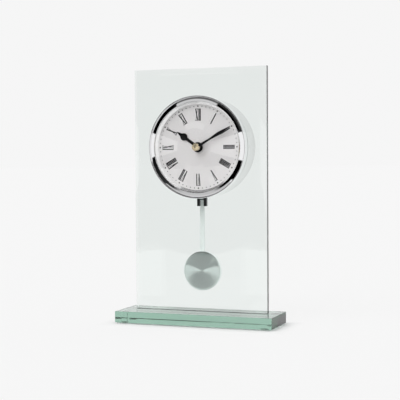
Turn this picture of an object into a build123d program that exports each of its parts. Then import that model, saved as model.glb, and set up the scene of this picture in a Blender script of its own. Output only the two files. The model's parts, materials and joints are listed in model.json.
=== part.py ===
from build123d import *
from math import atan2, cos, degrees, pi, radians, sin
import os

# A glass desk clock with a pendulum. A bevelled glass panel stands on a thick glass base. A round head is
# clamped in a hole in the panel: a front ring with a domed lens and the dial ahead of the glass, and a drum
# with the quartz movement behind it. The pendulum hangs from the movement, behind the panel.
# The front of the clock looks along -Y, +Z is up, and the origin is below the middle of the whole clock,
# on the surface that it stands on. Lengths are in millimetres and angles in degrees.

# Turns
half_turn_angle = 180.0
full_turn_angle = 360.0

# Glass base and its feet
base_width = 176.0
base_depth = 54.0
base_thickness = 12.0
base_arris = 0.4
foot_radius = 4.5
foot_height = 1.2
foot_inset = 9.0
foot_rim = 0.3

# Glass panel
panel_width = 150.0
panel_height = 260.0
panel_thickness = 6.0
panel_setback = 27.4
panel_bevel_width = 7.6
panel_bevel_depth = 1.3
panel_corner = 0.8
panel_top_margin = 33.0
bond_thickness = 0.2

# Head: place, clamping and front ring
ring_radius = 54.6
ring_depth = 8.4
ring_wall = 3.8
clamp_width = 3.3
gasket_thickness = 0.5
gasket_inset = 0.2
bead_radius = 0.8
band_width = 4.3
band_fall = 0.6
band_drop = 0.8
flare_top_radius = 48.1
flare_depth = 3.8
dial_view_radius = 45.7
ring_flange = 0.4

# Lens
lens_thickness = 1.2
lens_rise = 7.6
lens_gap = 0.1

# Dial and its carrier
dial_thickness = 0.6
dial_hole_radius = 4.6
dial_gap = 0.3
carrier_thickness = 1.5
carrier_skirt_inset = 6.5
carrier_skirt_wall = 2.0
carrier_rib_width = 1.6
carrier_rib_height = 2.0
carrier_rib_count = 8
carrier_hole_radius = 12.0

# Clamp screws and the posts that take them
clamp_count = 4
post_radius = 2.2
post_root = 0.25
post_notch_gap = 0.25
post_end_gap = 0.3
clamp_screw_radius = 1.0
clamp_head_radius = 2.0
clamp_head_height = 1.6
clamp_grip = 6.0
screw_gap = 0.15
socket_depth = 0.8
socket_width = 1.3

# Rear drum
drum_inset = 1.2
drum_wall = 1.5
drum_web = 1.5
drum_lip = 0.5
slot_gap = 0.5
slot_side_gap = 2.0
slot_height = 3.0
cover_post_radius = 3.2
cover_post_inset = 2.9
cover_post_count = 3
cover_post_angle = 90.0

# Hands
minute_angle = 60.0
hour_angle = 305.0
hand_thickness = 0.5
hour_hand_lift = 1.2
hour_hand_length = 29.0
hour_bulb_place = 19.4
hour_bulb_radius = 3.9
hour_arm_width = 3.2
hour_boss_radius = 5.45
minute_hand_lift = 4.8
minute_hand_length = 43.0
minute_leaf_start = 18.0
minute_leaf_place = 28.0
minute_leaf_width = 3.6
minute_neck_width = 1.9
minute_arm_width = 3.2
minute_boss_radius = 3.6
hand_tip_width = 0.4
cap_radius = 4.0
cap_height = 6.0
cap_dome = 2.2
cap_bore_depth = 3.4
arbor_step = 0.4
arbor_bore_depth = 2.1
hand_hub_edge = 1.2
bulb_shoulder_share = 0.6

# Movement cases
movement_corner = 4.0
case_wall = 1.2
case_split = 9.0
bush_radius = 4.0
bush_margin = 0.6
nut_width = 12.0
nut_thickness = 2.5
nut_edge = 0.3
washer_radius = 7.5
washer_thickness = 0.8
thread_gap = 0.05

# Arbors, clearances and gears
running_gap = 0.05
hour_pipe_radius = 2.5
minute_arbor_radius = 1.5
wheel_thickness = 0.9
pinion_overlap = 0.3
arbor_radius = 0.5
pivot_radius = 0.35
pivot_depth = 0.8
pivot_end_gap = 0.1
addendum_share = 0.75
dedendum_share = 1.15
tip_share = 0.45
root_share = 1.3
tooth_share = 0.8
cannon_teeth = 12
minute_wheel_teeth = 36
minute_pinion_teeth = 10
hour_wheel_teeth = 40
centre_teeth = 64
third_teeth = 60
third_pinion_teeth = 8
second_teeth = 60
second_pinion_teeth = 8
intermediate_teeth = 40
intermediate_pinion_teeth = 10
rotor_pinion_teeth = 8
motion_distance = 12.0
third_distance = 10.8
intermediate_distance = 10.9
rotor_distance = 7.2
knob_distance = 12.0
motion_angle = 260.0
third_angle = 345.0
intermediate_angle = 190.0
rotor_angle = 235.0
knob_angle = 335.0
case_float = 0.4
motion_gap = 0.6
train_gap = 1.3
spoke_hole_radius = 2.3
spoke_hole_count = 3
minute_stud_radius = 1.0

# Setting knob
knob_radius = 6.0
knob_height = 3.4
knob_shaft_radius = 1.1
knob_pivot_radius = 0.8
knob_inset = 0.4
knob_flute_count = 20
knob_flute_radius = 0.6
knob_well_gap = 2.4

# Stepping motor
magnet_radius = 2.8
magnet_height = 3.0
stator_bore_gap = 0.6
stator_thickness = 1.0
stator_width = 20.0
stator_bar = 8.8
stator_leg_width = 4.2
motor_coil_length = 10.4
motor_coil_radius = 3.2
motor_core_width = 2.4
motor_coil_drop = 13.0
bobbin_flange = 0.8
bobbin_wall = 0.4

# Circuit board
board_width = 12.0
board_height = 17.0
board_thickness = 0.8
board_gap = 1.0
board_lift = 2.4
crystal_radius = 1.0
crystal_length = 6.0
board_post_radius = 1.2
board_post_inset = 2.4

# Battery
battery_radius = 7.1
battery_length = 49.2
battery_nub_radius = 2.7
battery_nub_length = 1.3
battery_gap = 0.2
battery_edge = 0.6
contact_thickness = 0.4
contact_width = 8.0
contact_tongue = 2.4
contact_foot = 3.0
contact_room = 1.55

# Pendulum
pendulum_setback = 2.8
pendulum_range = 5.0
hub_gap = 0.8
pivot_pin_radius = 0.8
arm_thickness = 2.0
arm_width = 5.0
arm_hub_radius = 3.0
fork_depth = 4.2
fork_width = 10.3
fork_gap = 4.8
fork_crossbar = 1.4
fork_crossbar_hang = 2.4
fork_rise = 3.4
fork_hang = 9.8
arm_magnet_radius = 2.5
arm_magnet_height = 2.0
arm_magnet_drop = 9.0
rod_width = 5.0
rod_thickness = 0.8
rod_neck_width = 3.8
rod_neck_length = 8.0
hook_gap = 0.05
hook_wall = 0.8
hook_lip = 0.4
bob_radius = 21.0
bob_thickness = 4.4
bob_edge = 1.3
bob_rim_width = 1.6
bob_rise = 43.0
bob_crown = 0.8
bob_plate_thickness = 1.0
bob_wall = 1.4
bob_slot_gap = 0.05
bob_slot_length = 5.6
plate_gap = 0.25
rod_overlap = 26.0
rivet_radius = 1.3
rivet_head_radius = 2.2
rivet_head_height = 0.5
rivet_pitch = 14.0

# Pendulum housing and coil
housing_width = 34.0
housing_height = 17.0
housing_depth = 11.6
housing_wall = 1.0
housing_corner = 3.0
arm_side_gap = 0.3
pin_seat_depth = 1.0
drive_coil_radius = 6.0
drive_coil_core = 2.2
drive_coil_height = 2.8
drive_coil_gap = 0.5

# Back cover and battery door
cover_gap = 3.9
cover_thickness = 2.4
cover_fit = 0.25
cover_screw_radius = 1.2
cover_head_radius = 2.3
cover_head_height = 1.2
cover_screw_length = 7.0
driver_slot_width = 0.7
driver_slot_depth = 0.6
door_width = 54.0
door_height = 17.0
door_thickness = 1.5
door_gap = 0.3
door_travel = 6.0
door_tongue = 1.0
door_tongue_length = 4.0
door_tongue_thickness = 0.6
door_grip_count = 4
door_grip_width = 14.0
door_grip_height = 0.7
door_grip_depth = 0.4
door_grip_pitch = 2.1
door_grip_drop = 3.4
door_ledge = 1.2

# Depths, counted back from the front edge of the base
ring_back = panel_setback - gasket_thickness
ring_front = ring_back - ring_depth
band_outer_depth = ring_front + bead_radius + band_drop
band_inner_depth = band_outer_depth - band_fall
lens_seat = band_inner_depth + lens_thickness
dial_depth = lens_seat + flare_depth + ring_flange
carrier_depth = dial_depth + dial_thickness
hour_hand_front = dial_depth - hour_hand_lift
minute_hand_front = dial_depth - minute_hand_lift
panel_back = panel_setback + panel_thickness
drum_front = panel_back + gasket_thickness
movement_front = drum_front + drum_web
movement_size = battery_length + battery_nub_length + 2 * (contact_room + case_wall)
movement_depth = 2 * battery_radius + battery_gap + 2 * case_wall
movement_back = movement_front + movement_depth
cover_front = movement_back + cover_gap
drum_back = cover_front + cover_thickness
overall_depth = max(base_depth, drum_back)
front_edge = -overall_depth / 2
base_middle = front_edge + base_depth / 2
pendulum_plane = movement_front + pendulum_setback

# Radii in the head
bead_inner_radius = ring_radius - 2 * bead_radius
band_inner_radius = bead_inner_radius - band_width
ring_bore = ring_radius - ring_wall
panel_hole = ring_radius - clamp_width
drum_radius = ring_radius - drum_inset
drum_bore = drum_radius - drum_wall
dial_radius = ring_bore - dial_gap
post_place = ring_bore - post_radius + post_root
clamp_turn = full_turn_angle / clamp_count / 2
carrier_skirt_radius = dial_radius - carrier_skirt_inset
cover_post_place = drum_bore - cover_post_inset
fork_crossbar_drop = drum_radius + fork_crossbar_hang
fork_top_drop = drum_radius - fork_rise
fork_end_drop = drum_radius + fork_hang

# Heights
base_top = foot_height + base_thickness
panel_foot = base_top + bond_thickness
head_height = panel_foot + panel_height - panel_top_margin - panel_hole
bob_drop = head_height - base_top - bob_rise
pivot_drop = movement_size / 2 + housing_wall + arm_hub_radius + hub_gap


def depth(value):
    """World Y of a depth behind the front edge of the base."""
    return front_edge + value


def layer(value):
    """World Y of a depth behind the movement's front face."""
    return depth(movement_front + value)


def facing(y, x=0.0, z=0.0):
    """Plane that looks at the viewer, with its origin at a place counted from the head's centre."""
    return Plane(origin=(x, y, head_height + z), x_dir=(1, 0, 0), z_dir=(0, -1, 0))


def reach(distance, direction):
    """Place at a distance and a direction, counted anticlockwise from the right as the viewer sees it."""
    return distance * cos(radians(direction)), distance * sin(radians(direction))


turning = Plane.XY.offset(head_height)
head_axis = Axis((0, 0, head_height), (0, 1, 0))
pieces = []


def keep(builder, name):
    """Label a finished piece and note it for export."""
    builder.part.label = name
    pieces.append(builder.part)


# Gears

def gear_size(distance, teeth, other_teeth):
    """Module of two wheels that run at a distance."""
    return 2 * distance / (teeth + other_teeth)


def tooth_ring(teeth, module, turn):
    """Outline of a toothed wheel: each tooth has two root corners and two tip corners."""
    pitch_radius = module * teeth / 2
    tip_radius = pitch_radius + addendum_share * module
    root_radius = pitch_radius - dedendum_share * module
    half_width = tooth_share * pi * module / 4
    tip_turn = degrees(tip_share * half_width / tip_radius)
    root_turn = degrees(root_share * half_width / root_radius)
    corners = (
        (root_radius, -root_turn), (tip_radius, -tip_turn), (tip_radius, tip_turn), (root_radius, root_turn))
    return [
        reach(radius, turn + full_turn_angle * tooth / teeth + offset)
        for tooth in range(teeth) for radius, offset in corners]


def mating_turn(direction, teeth, turn, other_teeth):
    """Turn of a wheel that meshes with a given one, along the direction from that one to it."""
    facing_turn = direction + half_turn_angle + half_turn_angle / other_teeth
    return facing_turn - (turn - direction) * teeth / other_teeth


centre = (0.0, 0.0)
third_place = reach(third_distance, third_angle)
intermediate_place = reach(intermediate_distance, intermediate_angle)
rotor_shift = reach(rotor_distance, rotor_angle)
rotor_place = (intermediate_place[0] + rotor_shift[0], intermediate_place[1] + rotor_shift[1])
motion_place = reach(motion_distance, motion_angle)
knob_shift = reach(knob_distance, knob_angle)
knob_place = (motion_place[0] + knob_shift[0], motion_place[1] + knob_shift[1])

cannon_size = gear_size(motion_distance, cannon_teeth, minute_wheel_teeth)
hour_size = gear_size(motion_distance, minute_pinion_teeth, hour_wheel_teeth)
centre_size = gear_size(third_distance, third_pinion_teeth, centre_teeth)
third_size = gear_size(third_distance, second_pinion_teeth, third_teeth)
second_size = gear_size(intermediate_distance, intermediate_pinion_teeth, second_teeth)
rotor_size = gear_size(rotor_distance, rotor_pinion_teeth, intermediate_teeth)
knob_teeth = round(2 * knob_distance / cannon_size) - minute_wheel_teeth

cannon_turn = motion_angle
minute_wheel_turn = mating_turn(motion_angle, cannon_teeth, cannon_turn, minute_wheel_teeth)
knob_turn = mating_turn(knob_angle, minute_wheel_teeth, minute_wheel_turn, knob_teeth)
minute_pinion_turn = motion_angle + half_turn_angle
hour_wheel_turn = mating_turn(
    motion_angle + half_turn_angle, minute_pinion_teeth, minute_pinion_turn, hour_wheel_teeth)
rotor_turn = rotor_angle + half_turn_angle
intermediate_turn = mating_turn(
    rotor_angle + half_turn_angle, rotor_pinion_teeth, rotor_turn, intermediate_teeth)
intermediate_pinion_turn = intermediate_angle + half_turn_angle
second_turn = mating_turn(
    intermediate_angle + half_turn_angle, intermediate_pinion_teeth, intermediate_pinion_turn, second_teeth)
second_pinion_turn = third_angle
third_turn = mating_turn(third_angle, second_pinion_teeth, second_pinion_turn, third_teeth)
third_pinion_turn = third_angle + half_turn_angle
centre_turn = mating_turn(third_angle + half_turn_angle, third_pinion_teeth, third_pinion_turn, centre_teeth)

movement_inner_back = movement_depth - case_wall
motion_layer = case_wall + case_float
motion_upper_layer = motion_layer + wheel_thickness + motion_gap
centre_layer = motion_upper_layer + wheel_thickness + train_gap
third_layer = centre_layer + wheel_thickness + train_gap
second_layer = third_layer + wheel_thickness + train_gap
intermediate_layer = second_layer + wheel_thickness + train_gap
rear_pivot_end = movement_inner_back + pivot_depth - pivot_end_gap
front_pivot_end = case_wall - pivot_depth + pivot_end_gap
arbor_start = case_wall + pivot_end_gap
arbor_end = movement_inner_back - pivot_end_gap


def disc(y, radius, length, place=centre, mode=Mode.ADD):
    """Cylinder about an axis along Y, from y back over a length."""
    with BuildSketch(facing(y, *place)) as profile:
        Circle(radius)
    extrude(profile.sketch, amount=-length, mode=mode)


def toothed_disc(y, teeth, module, turn, thickness, place=centre):
    """Toothed wheel about an axis along Y, from y back over its thickness."""
    with BuildSketch(facing(y, *place)) as profile:
        Polygon(*tooth_ring(teeth, module, turn), align=None)
    extrude(profile.sketch, amount=-thickness)


def train_arbor(place):
    """Arbor between the movement's front and rear walls, with a thin pivot at each end."""
    disc(layer(arbor_start), arbor_radius, arbor_end - arbor_start, place)
    disc(layer(front_pivot_end), pivot_radius, rear_pivot_end - front_pivot_end, place)


# Base, feet and panel
with BuildPart() as glass_base:
    with BuildSketch(Plane.XY.offset(foot_height)):
        with Locations((0, base_middle)):
            Rectangle(base_width, base_depth)
    extrude(amount=base_thickness)
    chamfer(glass_base.edges(), base_arris)
keep(glass_base, "glass_base")

foot_places = [
    (side * (base_width / 2 - foot_inset), base_middle + way * (base_depth / 2 - foot_inset))
    for way in (-1, 1) for side in (-1, 1)]
foot_names = ("front_left", "front_right", "rear_left", "rear_right")
for place, name in zip(foot_places, foot_names):
    with BuildPart() as foot_pad:
        with BuildSketch():
            with Locations(place):
                Circle(foot_radius)
        extrude(amount=foot_height)
        fillet(foot_pad.edges().group_by(Axis.Z)[0], foot_rim)
    keep(foot_pad, f"foot_pad_{name}")

with BuildPart() as panel_bond:
    with BuildSketch(Plane.XY.offset(base_top)):
        with Locations((0, depth(panel_setback + (panel_thickness + panel_bevel_depth) / 2))):
            Rectangle(panel_width - 2 * panel_corner, panel_thickness - panel_bevel_depth)
    extrude(amount=bond_thickness)
keep(panel_bond, "panel_bond")

panel_middle = panel_foot + panel_height / 2 - head_height
with BuildPart() as glass_panel:
    with BuildSketch(facing(depth(panel_back), 0, panel_middle)):
        Rectangle(panel_width, panel_height)
    with BuildSketch(facing(depth(panel_setback + panel_bevel_depth), 0, panel_middle)):
        Rectangle(panel_width, panel_height)
    loft()
    with BuildSketch(facing(depth(panel_setback + panel_bevel_depth), 0, panel_middle)):
        Rectangle(panel_width, panel_height)
    with BuildSketch(facing(depth(panel_setback), 0, panel_middle)):
        with Locations((0, -panel_bevel_width / 2)):
            Rectangle(panel_width - 2 * panel_bevel_width, panel_height - panel_bevel_width)
    loft()
    with BuildSketch(facing(depth(panel_setback))):
        Circle(panel_hole)
    extrude(amount=-panel_thickness, mode=Mode.SUBTRACT)
keep(glass_panel, "glass_panel")

# Front ring, gaskets and lens
with BuildPart() as front_ring:
    with BuildSketch(turning):
        with BuildLine():
            Polyline(
                (bead_inner_radius, depth(ring_front + bead_radius)),
                (bead_inner_radius, depth(band_outer_depth)),
                (band_inner_radius, depth(band_inner_depth)),
                (band_inner_radius, depth(lens_seat)),
                (flare_top_radius, depth(lens_seat)),
                (dial_view_radius, depth(dial_depth - ring_flange)),
                (dial_view_radius, depth(dial_depth)),
                (ring_bore, depth(dial_depth)),
                (ring_bore, depth(ring_back)),
                (ring_radius, depth(ring_back)),
                (ring_radius, depth(ring_front + bead_radius)))
            ThreePointArc(
                (ring_radius, depth(ring_front + bead_radius)),
                (ring_radius - bead_radius, depth(ring_front)),
                (bead_inner_radius, depth(ring_front + bead_radius)))
        make_face()
    revolve(axis=head_axis)
    with BuildSketch(facing(depth(dial_depth))):
        with PolarLocations(post_place, clamp_count, clamp_turn):
            Circle(post_radius)
    extrude(amount=-(drum_front - dial_depth - post_end_gap))
    with BuildSketch(facing(depth(drum_front - post_end_gap))):
        with PolarLocations(post_place, clamp_count, clamp_turn):
            Circle(clamp_screw_radius)
    extrude(amount=clamp_grip, mode=Mode.SUBTRACT)
keep(front_ring, "front_ring")

with BuildPart() as front_gasket:
    with BuildSketch(facing(depth(ring_back))):
        Circle(ring_radius - gasket_inset)
        Circle(panel_hole, mode=Mode.SUBTRACT)
    extrude(amount=-gasket_thickness)
keep(front_gasket, "front_gasket")

with BuildPart() as rear_gasket:
    with BuildSketch(facing(depth(panel_back))):
        Circle(drum_radius - gasket_inset)
        Circle(panel_hole, mode=Mode.SUBTRACT)
    extrude(amount=-gasket_thickness)
keep(rear_gasket, "rear_gasket")

lens_radius = band_inner_radius - lens_gap
lens_top = lens_seat - lens_thickness - lens_rise
dome_start = flare_top_radius - lens_gap


def dome_arc(edge_radius, rise, top):
    """Crown, middle and foot of a dome's profile, with its crown on the axis at a depth."""
    ball_radius = (edge_radius ** 2 + rise ** 2) / (2 * rise)
    half_turn = atan2(edge_radius, ball_radius - rise) / 2
    middle = (ball_radius * sin(half_turn), depth(top + ball_radius * (1 - cos(half_turn))))
    return (0, depth(top)), middle, (edge_radius, depth(top + rise))


with BuildPart() as lens:
    with BuildSketch(turning):
        with BuildLine():
            crown, middle, foot = dome_arc(dome_start, lens_rise, lens_top)
            inner_crown, inner_middle, inner_foot = dome_arc(dome_start, lens_rise, lens_top + lens_thickness)
            ThreePointArc(crown, middle, foot)
            Polyline(foot, (lens_radius, foot[1]), (lens_radius, inner_foot[1]), inner_foot)
            ThreePointArc(inner_foot, inner_middle, inner_crown)
            Line(inner_crown, crown)
        make_face()
    revolve(axis=head_axis)
keep(lens, "lens")


# Dial, its carrier and the clamp screws

def post_notches(y, thickness):
    """Round notches in a disc's edge, where the ring's posts pass it."""
    with BuildSketch(facing(y)) as profile:
        with PolarLocations(post_place, clamp_count, clamp_turn):
            Circle(post_radius + post_notch_gap)
    extrude(profile.sketch, amount=-thickness, mode=Mode.SUBTRACT)


with BuildPart() as dial:
    disc(depth(dial_depth), dial_radius, dial_thickness)
    disc(depth(dial_depth), dial_hole_radius, dial_thickness, mode=Mode.SUBTRACT)
    post_notches(depth(dial_depth), dial_thickness)
keep(dial, "dial")

skirt_inner_radius = carrier_skirt_radius - carrier_skirt_wall
rib_start = carrier_hole_radius + carrier_rib_width
rib_length = skirt_inner_radius - rib_start + carrier_skirt_wall / 2
with BuildPart() as dial_carrier:
    disc(depth(carrier_depth), dial_radius, carrier_thickness)
    with BuildSketch(facing(depth(carrier_depth))):
        Circle(carrier_skirt_radius)
        Circle(skirt_inner_radius, mode=Mode.SUBTRACT)
    extrude(amount=-(drum_front - carrier_depth))
    with BuildSketch(facing(depth(carrier_depth))):
        Circle(rib_start + carrier_rib_width)
        with PolarLocations(rib_start + rib_length / 2, carrier_rib_count):
            Rectangle(rib_length, carrier_rib_width)
    extrude(amount=-(carrier_thickness + carrier_rib_height))
    disc(depth(carrier_depth), carrier_hole_radius, drum_front - carrier_depth, mode=Mode.SUBTRACT)
    post_notches(depth(carrier_depth), drum_front - carrier_depth)
keep(dial_carrier, "dial_carrier")

clamp_reach = clamp_grip - screw_gap
with BuildPart() as clamp_screws:
    with BuildSketch(facing(depth(movement_front + clamp_head_height))):
        with PolarLocations(post_place, clamp_count, clamp_turn):
            Circle(clamp_head_radius)
    extrude(amount=clamp_head_height)
    with BuildSketch(facing(depth(movement_front))):
        with PolarLocations(post_place, clamp_count, clamp_turn):
            Circle(clamp_screw_radius - thread_gap)
    extrude(amount=drum_web + clamp_reach)
    with BuildSketch(facing(depth(movement_front + clamp_head_height))):
        with PolarLocations(post_place, clamp_count, clamp_turn):
            RegularPolygon(socket_width, 6)
    extrude(amount=socket_depth, mode=Mode.SUBTRACT)
keep(clamp_screws, "clamp_screws")

# Rear drum
slot_depth = pendulum_setback + fork_depth / 2 + slot_gap
slot_sweep = (drum_radius - pivot_drop) * sin(radians(pendulum_range))
slot_width = fork_width + 2 * (slot_sweep + slot_side_gap)
with BuildPart() as rear_drum:
    disc(depth(drum_front), drum_radius, drum_back - drum_front)
    disc(depth(movement_front), drum_bore, drum_back - movement_front, mode=Mode.SUBTRACT)
    fillet(rear_drum.edges().group_by(Axis.Y)[-1].sort_by(SortBy.RADIUS)[-1:], drum_lip)
    with BuildSketch(facing(depth(movement_front))):
        with PolarLocations(cover_post_place, cover_post_count, cover_post_angle):
            Circle(cover_post_radius)
    extrude(amount=-(cover_front - movement_front))
    with BuildSketch(facing(depth(cover_front))):
        with PolarLocations(cover_post_place, cover_post_count, cover_post_angle):
            Circle(cover_screw_radius)
    extrude(amount=cover_screw_length, mode=Mode.SUBTRACT)
    disc(depth(drum_front), bush_radius + screw_gap, drum_web, mode=Mode.SUBTRACT)
    with BuildSketch(facing(depth(drum_front))):
        with PolarLocations(post_place, clamp_count, clamp_turn):
            Circle(clamp_screw_radius + screw_gap)
    extrude(amount=-drum_web, mode=Mode.SUBTRACT)
    with BuildSketch(facing(depth(movement_front), 0, -drum_radius)):
        Rectangle(slot_width, 2 * slot_height)
    extrude(amount=-slot_depth, mode=Mode.SUBTRACT)
keep(rear_drum, "rear_drum")

# Movement cases
half_size = movement_size / 2
bush_length = washer_thickness + nut_thickness + bush_margin
inner_half = half_size - case_wall
battery_height = inner_half - battery_radius - battery_gap
bay_floor = battery_height - battery_radius - battery_gap
battery_axis_layer = case_wall + battery_radius + battery_gap / 2
bay_width = movement_size - 2 * case_wall


def train_pivots(y):
    """Blind bearing holes for the train's arbors, cut from y along -Y."""
    for place in (third_place, intermediate_place, rotor_place):
        disc(y, pivot_radius + running_gap, pivot_depth, place, Mode.SUBTRACT)


with BuildPart() as movement_front_case:
    with BuildSketch(facing(layer(0))):
        RectangleRounded(movement_size, movement_size, movement_corner)
    extrude(amount=-case_split)
    with BuildSketch(facing(layer(case_wall))):
        RectangleRounded(bay_width, bay_width, movement_corner - case_wall)
    extrude(amount=-(case_split - case_wall), mode=Mode.SUBTRACT)
    with BuildSketch(facing(layer(case_wall), 0, bay_floor - case_wall / 2)):
        Rectangle(bay_width, case_wall)
    extrude(amount=-(case_split - case_wall))
    disc(layer(-bush_length - drum_web), bush_radius - thread_gap, bush_length + drum_web)
    stud_length = motion_upper_layer + wheel_thickness + case_float - case_wall
    disc(layer(case_wall), minute_stud_radius, stud_length, motion_place)
    disc(layer(-bush_length - drum_web), hour_pipe_radius + running_gap,
         bush_length + drum_web + case_wall, mode=Mode.SUBTRACT)
    train_pivots(layer(case_wall - pivot_depth))
    disc(layer(case_wall - pivot_depth), knob_pivot_radius + running_gap,
         pivot_depth, knob_place, Mode.SUBTRACT)
keep(movement_front_case, "movement_front_case")

board_x = inner_half - board_gap - board_width / 2
board_z = -inner_half + board_gap + board_height / 2
board_layer = movement_inner_back - board_lift - board_thickness
with BuildPart() as movement_rear_case:
    with BuildSketch(facing(layer(case_split))):
        RectangleRounded(movement_size, movement_size, movement_corner)
    extrude(amount=-(movement_depth - case_split))
    with BuildSketch(facing(layer(case_split))):
        RectangleRounded(bay_width, bay_width, movement_corner - case_wall)
    extrude(amount=-(movement_inner_back - case_split), mode=Mode.SUBTRACT)
    with BuildSketch(facing(layer(case_split), 0, bay_floor - case_wall / 2)):
        Rectangle(bay_width, case_wall)
    extrude(amount=-(movement_inner_back - case_split))
    with BuildSketch(facing(layer(movement_inner_back), 0, battery_height)):
        Rectangle(battery_length + battery_nub_length + 2 * battery_gap, 2 * battery_radius + 2 * battery_gap)
    extrude(amount=-case_wall, mode=Mode.SUBTRACT)
    train_pivots(layer(movement_inner_back))
    disc(layer(movement_inner_back), pivot_radius + running_gap, pivot_depth, centre, Mode.SUBTRACT)
    disc(layer(movement_inner_back), knob_shaft_radius + running_gap, case_wall, knob_place, Mode.SUBTRACT)
    with BuildSketch(facing(layer(board_layer + board_thickness), board_x, board_z)):
        with GridLocations(0, board_height - 2 * board_post_inset, 1, 2):
            Circle(board_post_radius)
    extrude(amount=-board_lift)
keep(movement_rear_case, "movement_rear_case")

with BuildPart() as movement_washer:
    disc(depth(drum_front - washer_thickness), washer_radius, washer_thickness)
    disc(depth(drum_front - washer_thickness), bush_radius + screw_gap, washer_thickness, mode=Mode.SUBTRACT)
keep(movement_washer, "movement_washer")

with BuildPart() as movement_nut:
    with BuildSketch(facing(depth(drum_front - washer_thickness))):
        RegularPolygon(nut_width / 2, 6, major_radius=False)
    extrude(amount=nut_thickness)
    chamfer(movement_nut.edges().group_by(Axis.Y)[0], nut_edge)
    disc(depth(drum_front - washer_thickness - nut_thickness), bush_radius, nut_thickness, mode=Mode.SUBTRACT)
keep(movement_nut, "movement_nut")


# Hands and the wheels under the dial

def clock_way(turn):
    """Direction of a hand, clockwise from twelve as the viewer sees it."""
    return 90.0 - turn


def hand_point(turn, along, across):
    """Point of a hand's outline, along the hand and to its left."""
    way = radians(clock_way(turn))
    return along * cos(way) - across * sin(way), along * sin(way) + across * cos(way)


with BuildPart() as hour_hand:
    with BuildSketch(facing(depth(hour_hand_front))):
        Circle(hour_boss_radius)
        with BuildLine():
            half_arm = hour_arm_width / 2
            shoulder_place = hour_bulb_place + hour_bulb_radius / 2
            half_shoulder = hour_bulb_radius * bulb_shoulder_share
            Polyline(
                hand_point(hour_angle, 0, half_arm),
                hand_point(hour_angle, hour_bulb_place, half_arm),
                hand_point(hour_angle, shoulder_place, half_shoulder),
                hand_point(hour_angle, hour_hand_length, hand_tip_width / 2),
                hand_point(hour_angle, hour_hand_length, -hand_tip_width / 2),
                hand_point(hour_angle, shoulder_place, -half_shoulder),
                hand_point(hour_angle, hour_bulb_place, -half_arm),
                hand_point(hour_angle, 0, -half_arm),
                close=True)
        make_face()
        with Locations(hand_point(hour_angle, hour_bulb_place, 0)):
            Circle(hour_bulb_radius)
    extrude(amount=-hand_thickness)
    disc(depth(hour_hand_front), hour_pipe_radius + hand_hub_edge, 2 * hand_thickness)
    disc(depth(hour_hand_front), hour_pipe_radius, 2 * hand_thickness, mode=Mode.SUBTRACT)
keep(hour_hand, "hour_hand")

with BuildPart() as hour_wheel:
    toothed_disc(layer(motion_layer), hour_wheel_teeth, hour_size, hour_wheel_turn, wheel_thickness)
    pipe_length = movement_front + motion_layer - hour_hand_front
    disc(depth(hour_hand_front), hour_pipe_radius, pipe_length)
    disc(depth(hour_hand_front), minute_arbor_radius + running_gap,
         pipe_length + wheel_thickness, mode=Mode.SUBTRACT)
keep(hour_wheel, "hour_wheel")

arbor_shoulder = minute_arbor_radius - arbor_step
with BuildPart() as minute_hand:
    with BuildSketch(facing(depth(minute_hand_front))):
        Circle(minute_boss_radius)
        with BuildLine():
            half_neck = minute_neck_width / 2
            Polyline(
                hand_point(minute_angle, 0, minute_arm_width / 2),
                hand_point(minute_angle, minute_leaf_start, half_neck),
                hand_point(minute_angle, minute_leaf_place, minute_leaf_width / 2),
                hand_point(minute_angle, minute_hand_length, hand_tip_width / 2),
                hand_point(minute_angle, minute_hand_length, -hand_tip_width / 2),
                hand_point(minute_angle, minute_leaf_place, -minute_leaf_width / 2),
                hand_point(minute_angle, minute_leaf_start, -half_neck),
                hand_point(minute_angle, 0, -minute_arm_width / 2),
                close=True)
        make_face()
    extrude(amount=-hand_thickness)
    disc(depth(minute_hand_front), arbor_shoulder + hand_hub_edge, 2 * hand_thickness)
    disc(depth(minute_hand_front), arbor_shoulder, 2 * hand_thickness, mode=Mode.SUBTRACT)
keep(minute_hand, "minute_hand")

cannon_front = motion_upper_layer - pinion_overlap
cannon_length = wheel_thickness + 2 * pinion_overlap
cannon_end = centre_layer + wheel_thickness + pinion_overlap
arbor_front = minute_hand_front - cap_bore_depth
with BuildPart() as minute_arbor:
    shoulder_depth = minute_hand_front + 2 * hand_thickness
    disc(depth(arbor_front), arbor_shoulder, shoulder_depth - arbor_front)
    disc(depth(shoulder_depth), minute_arbor_radius, movement_front + cannon_end - shoulder_depth)
    toothed_disc(layer(cannon_front), cannon_teeth, cannon_size, cannon_turn, cannon_length)
    disc(layer(cannon_end - arbor_bore_depth), pivot_radius + running_gap,
         arbor_bore_depth, mode=Mode.SUBTRACT)
keep(minute_arbor, "minute_arbor")

with BuildPart() as hand_cap:
    with BuildSketch(turning):
        cap_back = depth(minute_hand_front)
        bore_end = depth(minute_hand_front - cap_bore_depth)
        with BuildLine():
            crown, middle, foot = dome_arc(cap_radius, cap_dome, minute_hand_front - cap_height)
            ThreePointArc(crown, middle, foot)
            Polyline(
                foot, (cap_radius, cap_back), (arbor_shoulder, cap_back), (arbor_shoulder, bore_end),
                (0, bore_end), crown)
        make_face()
    revolve(axis=head_axis)
keep(hand_cap, "hand_cap")

minute_wheel_front = motion_layer - case_float / 2
with BuildPart() as minute_wheel:
    toothed_disc(
        layer(minute_wheel_front), minute_pinion_teeth, hour_size, minute_pinion_turn,
        motion_upper_layer - minute_wheel_front, motion_place)
    toothed_disc(
        layer(motion_upper_layer), minute_wheel_teeth, cannon_size, minute_wheel_turn, wheel_thickness,
        motion_place)
    disc(layer(minute_wheel_front), minute_stud_radius + running_gap,
         motion_upper_layer + wheel_thickness - minute_wheel_front, motion_place, Mode.SUBTRACT)
keep(minute_wheel, "minute_wheel")

# Driving train

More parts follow.
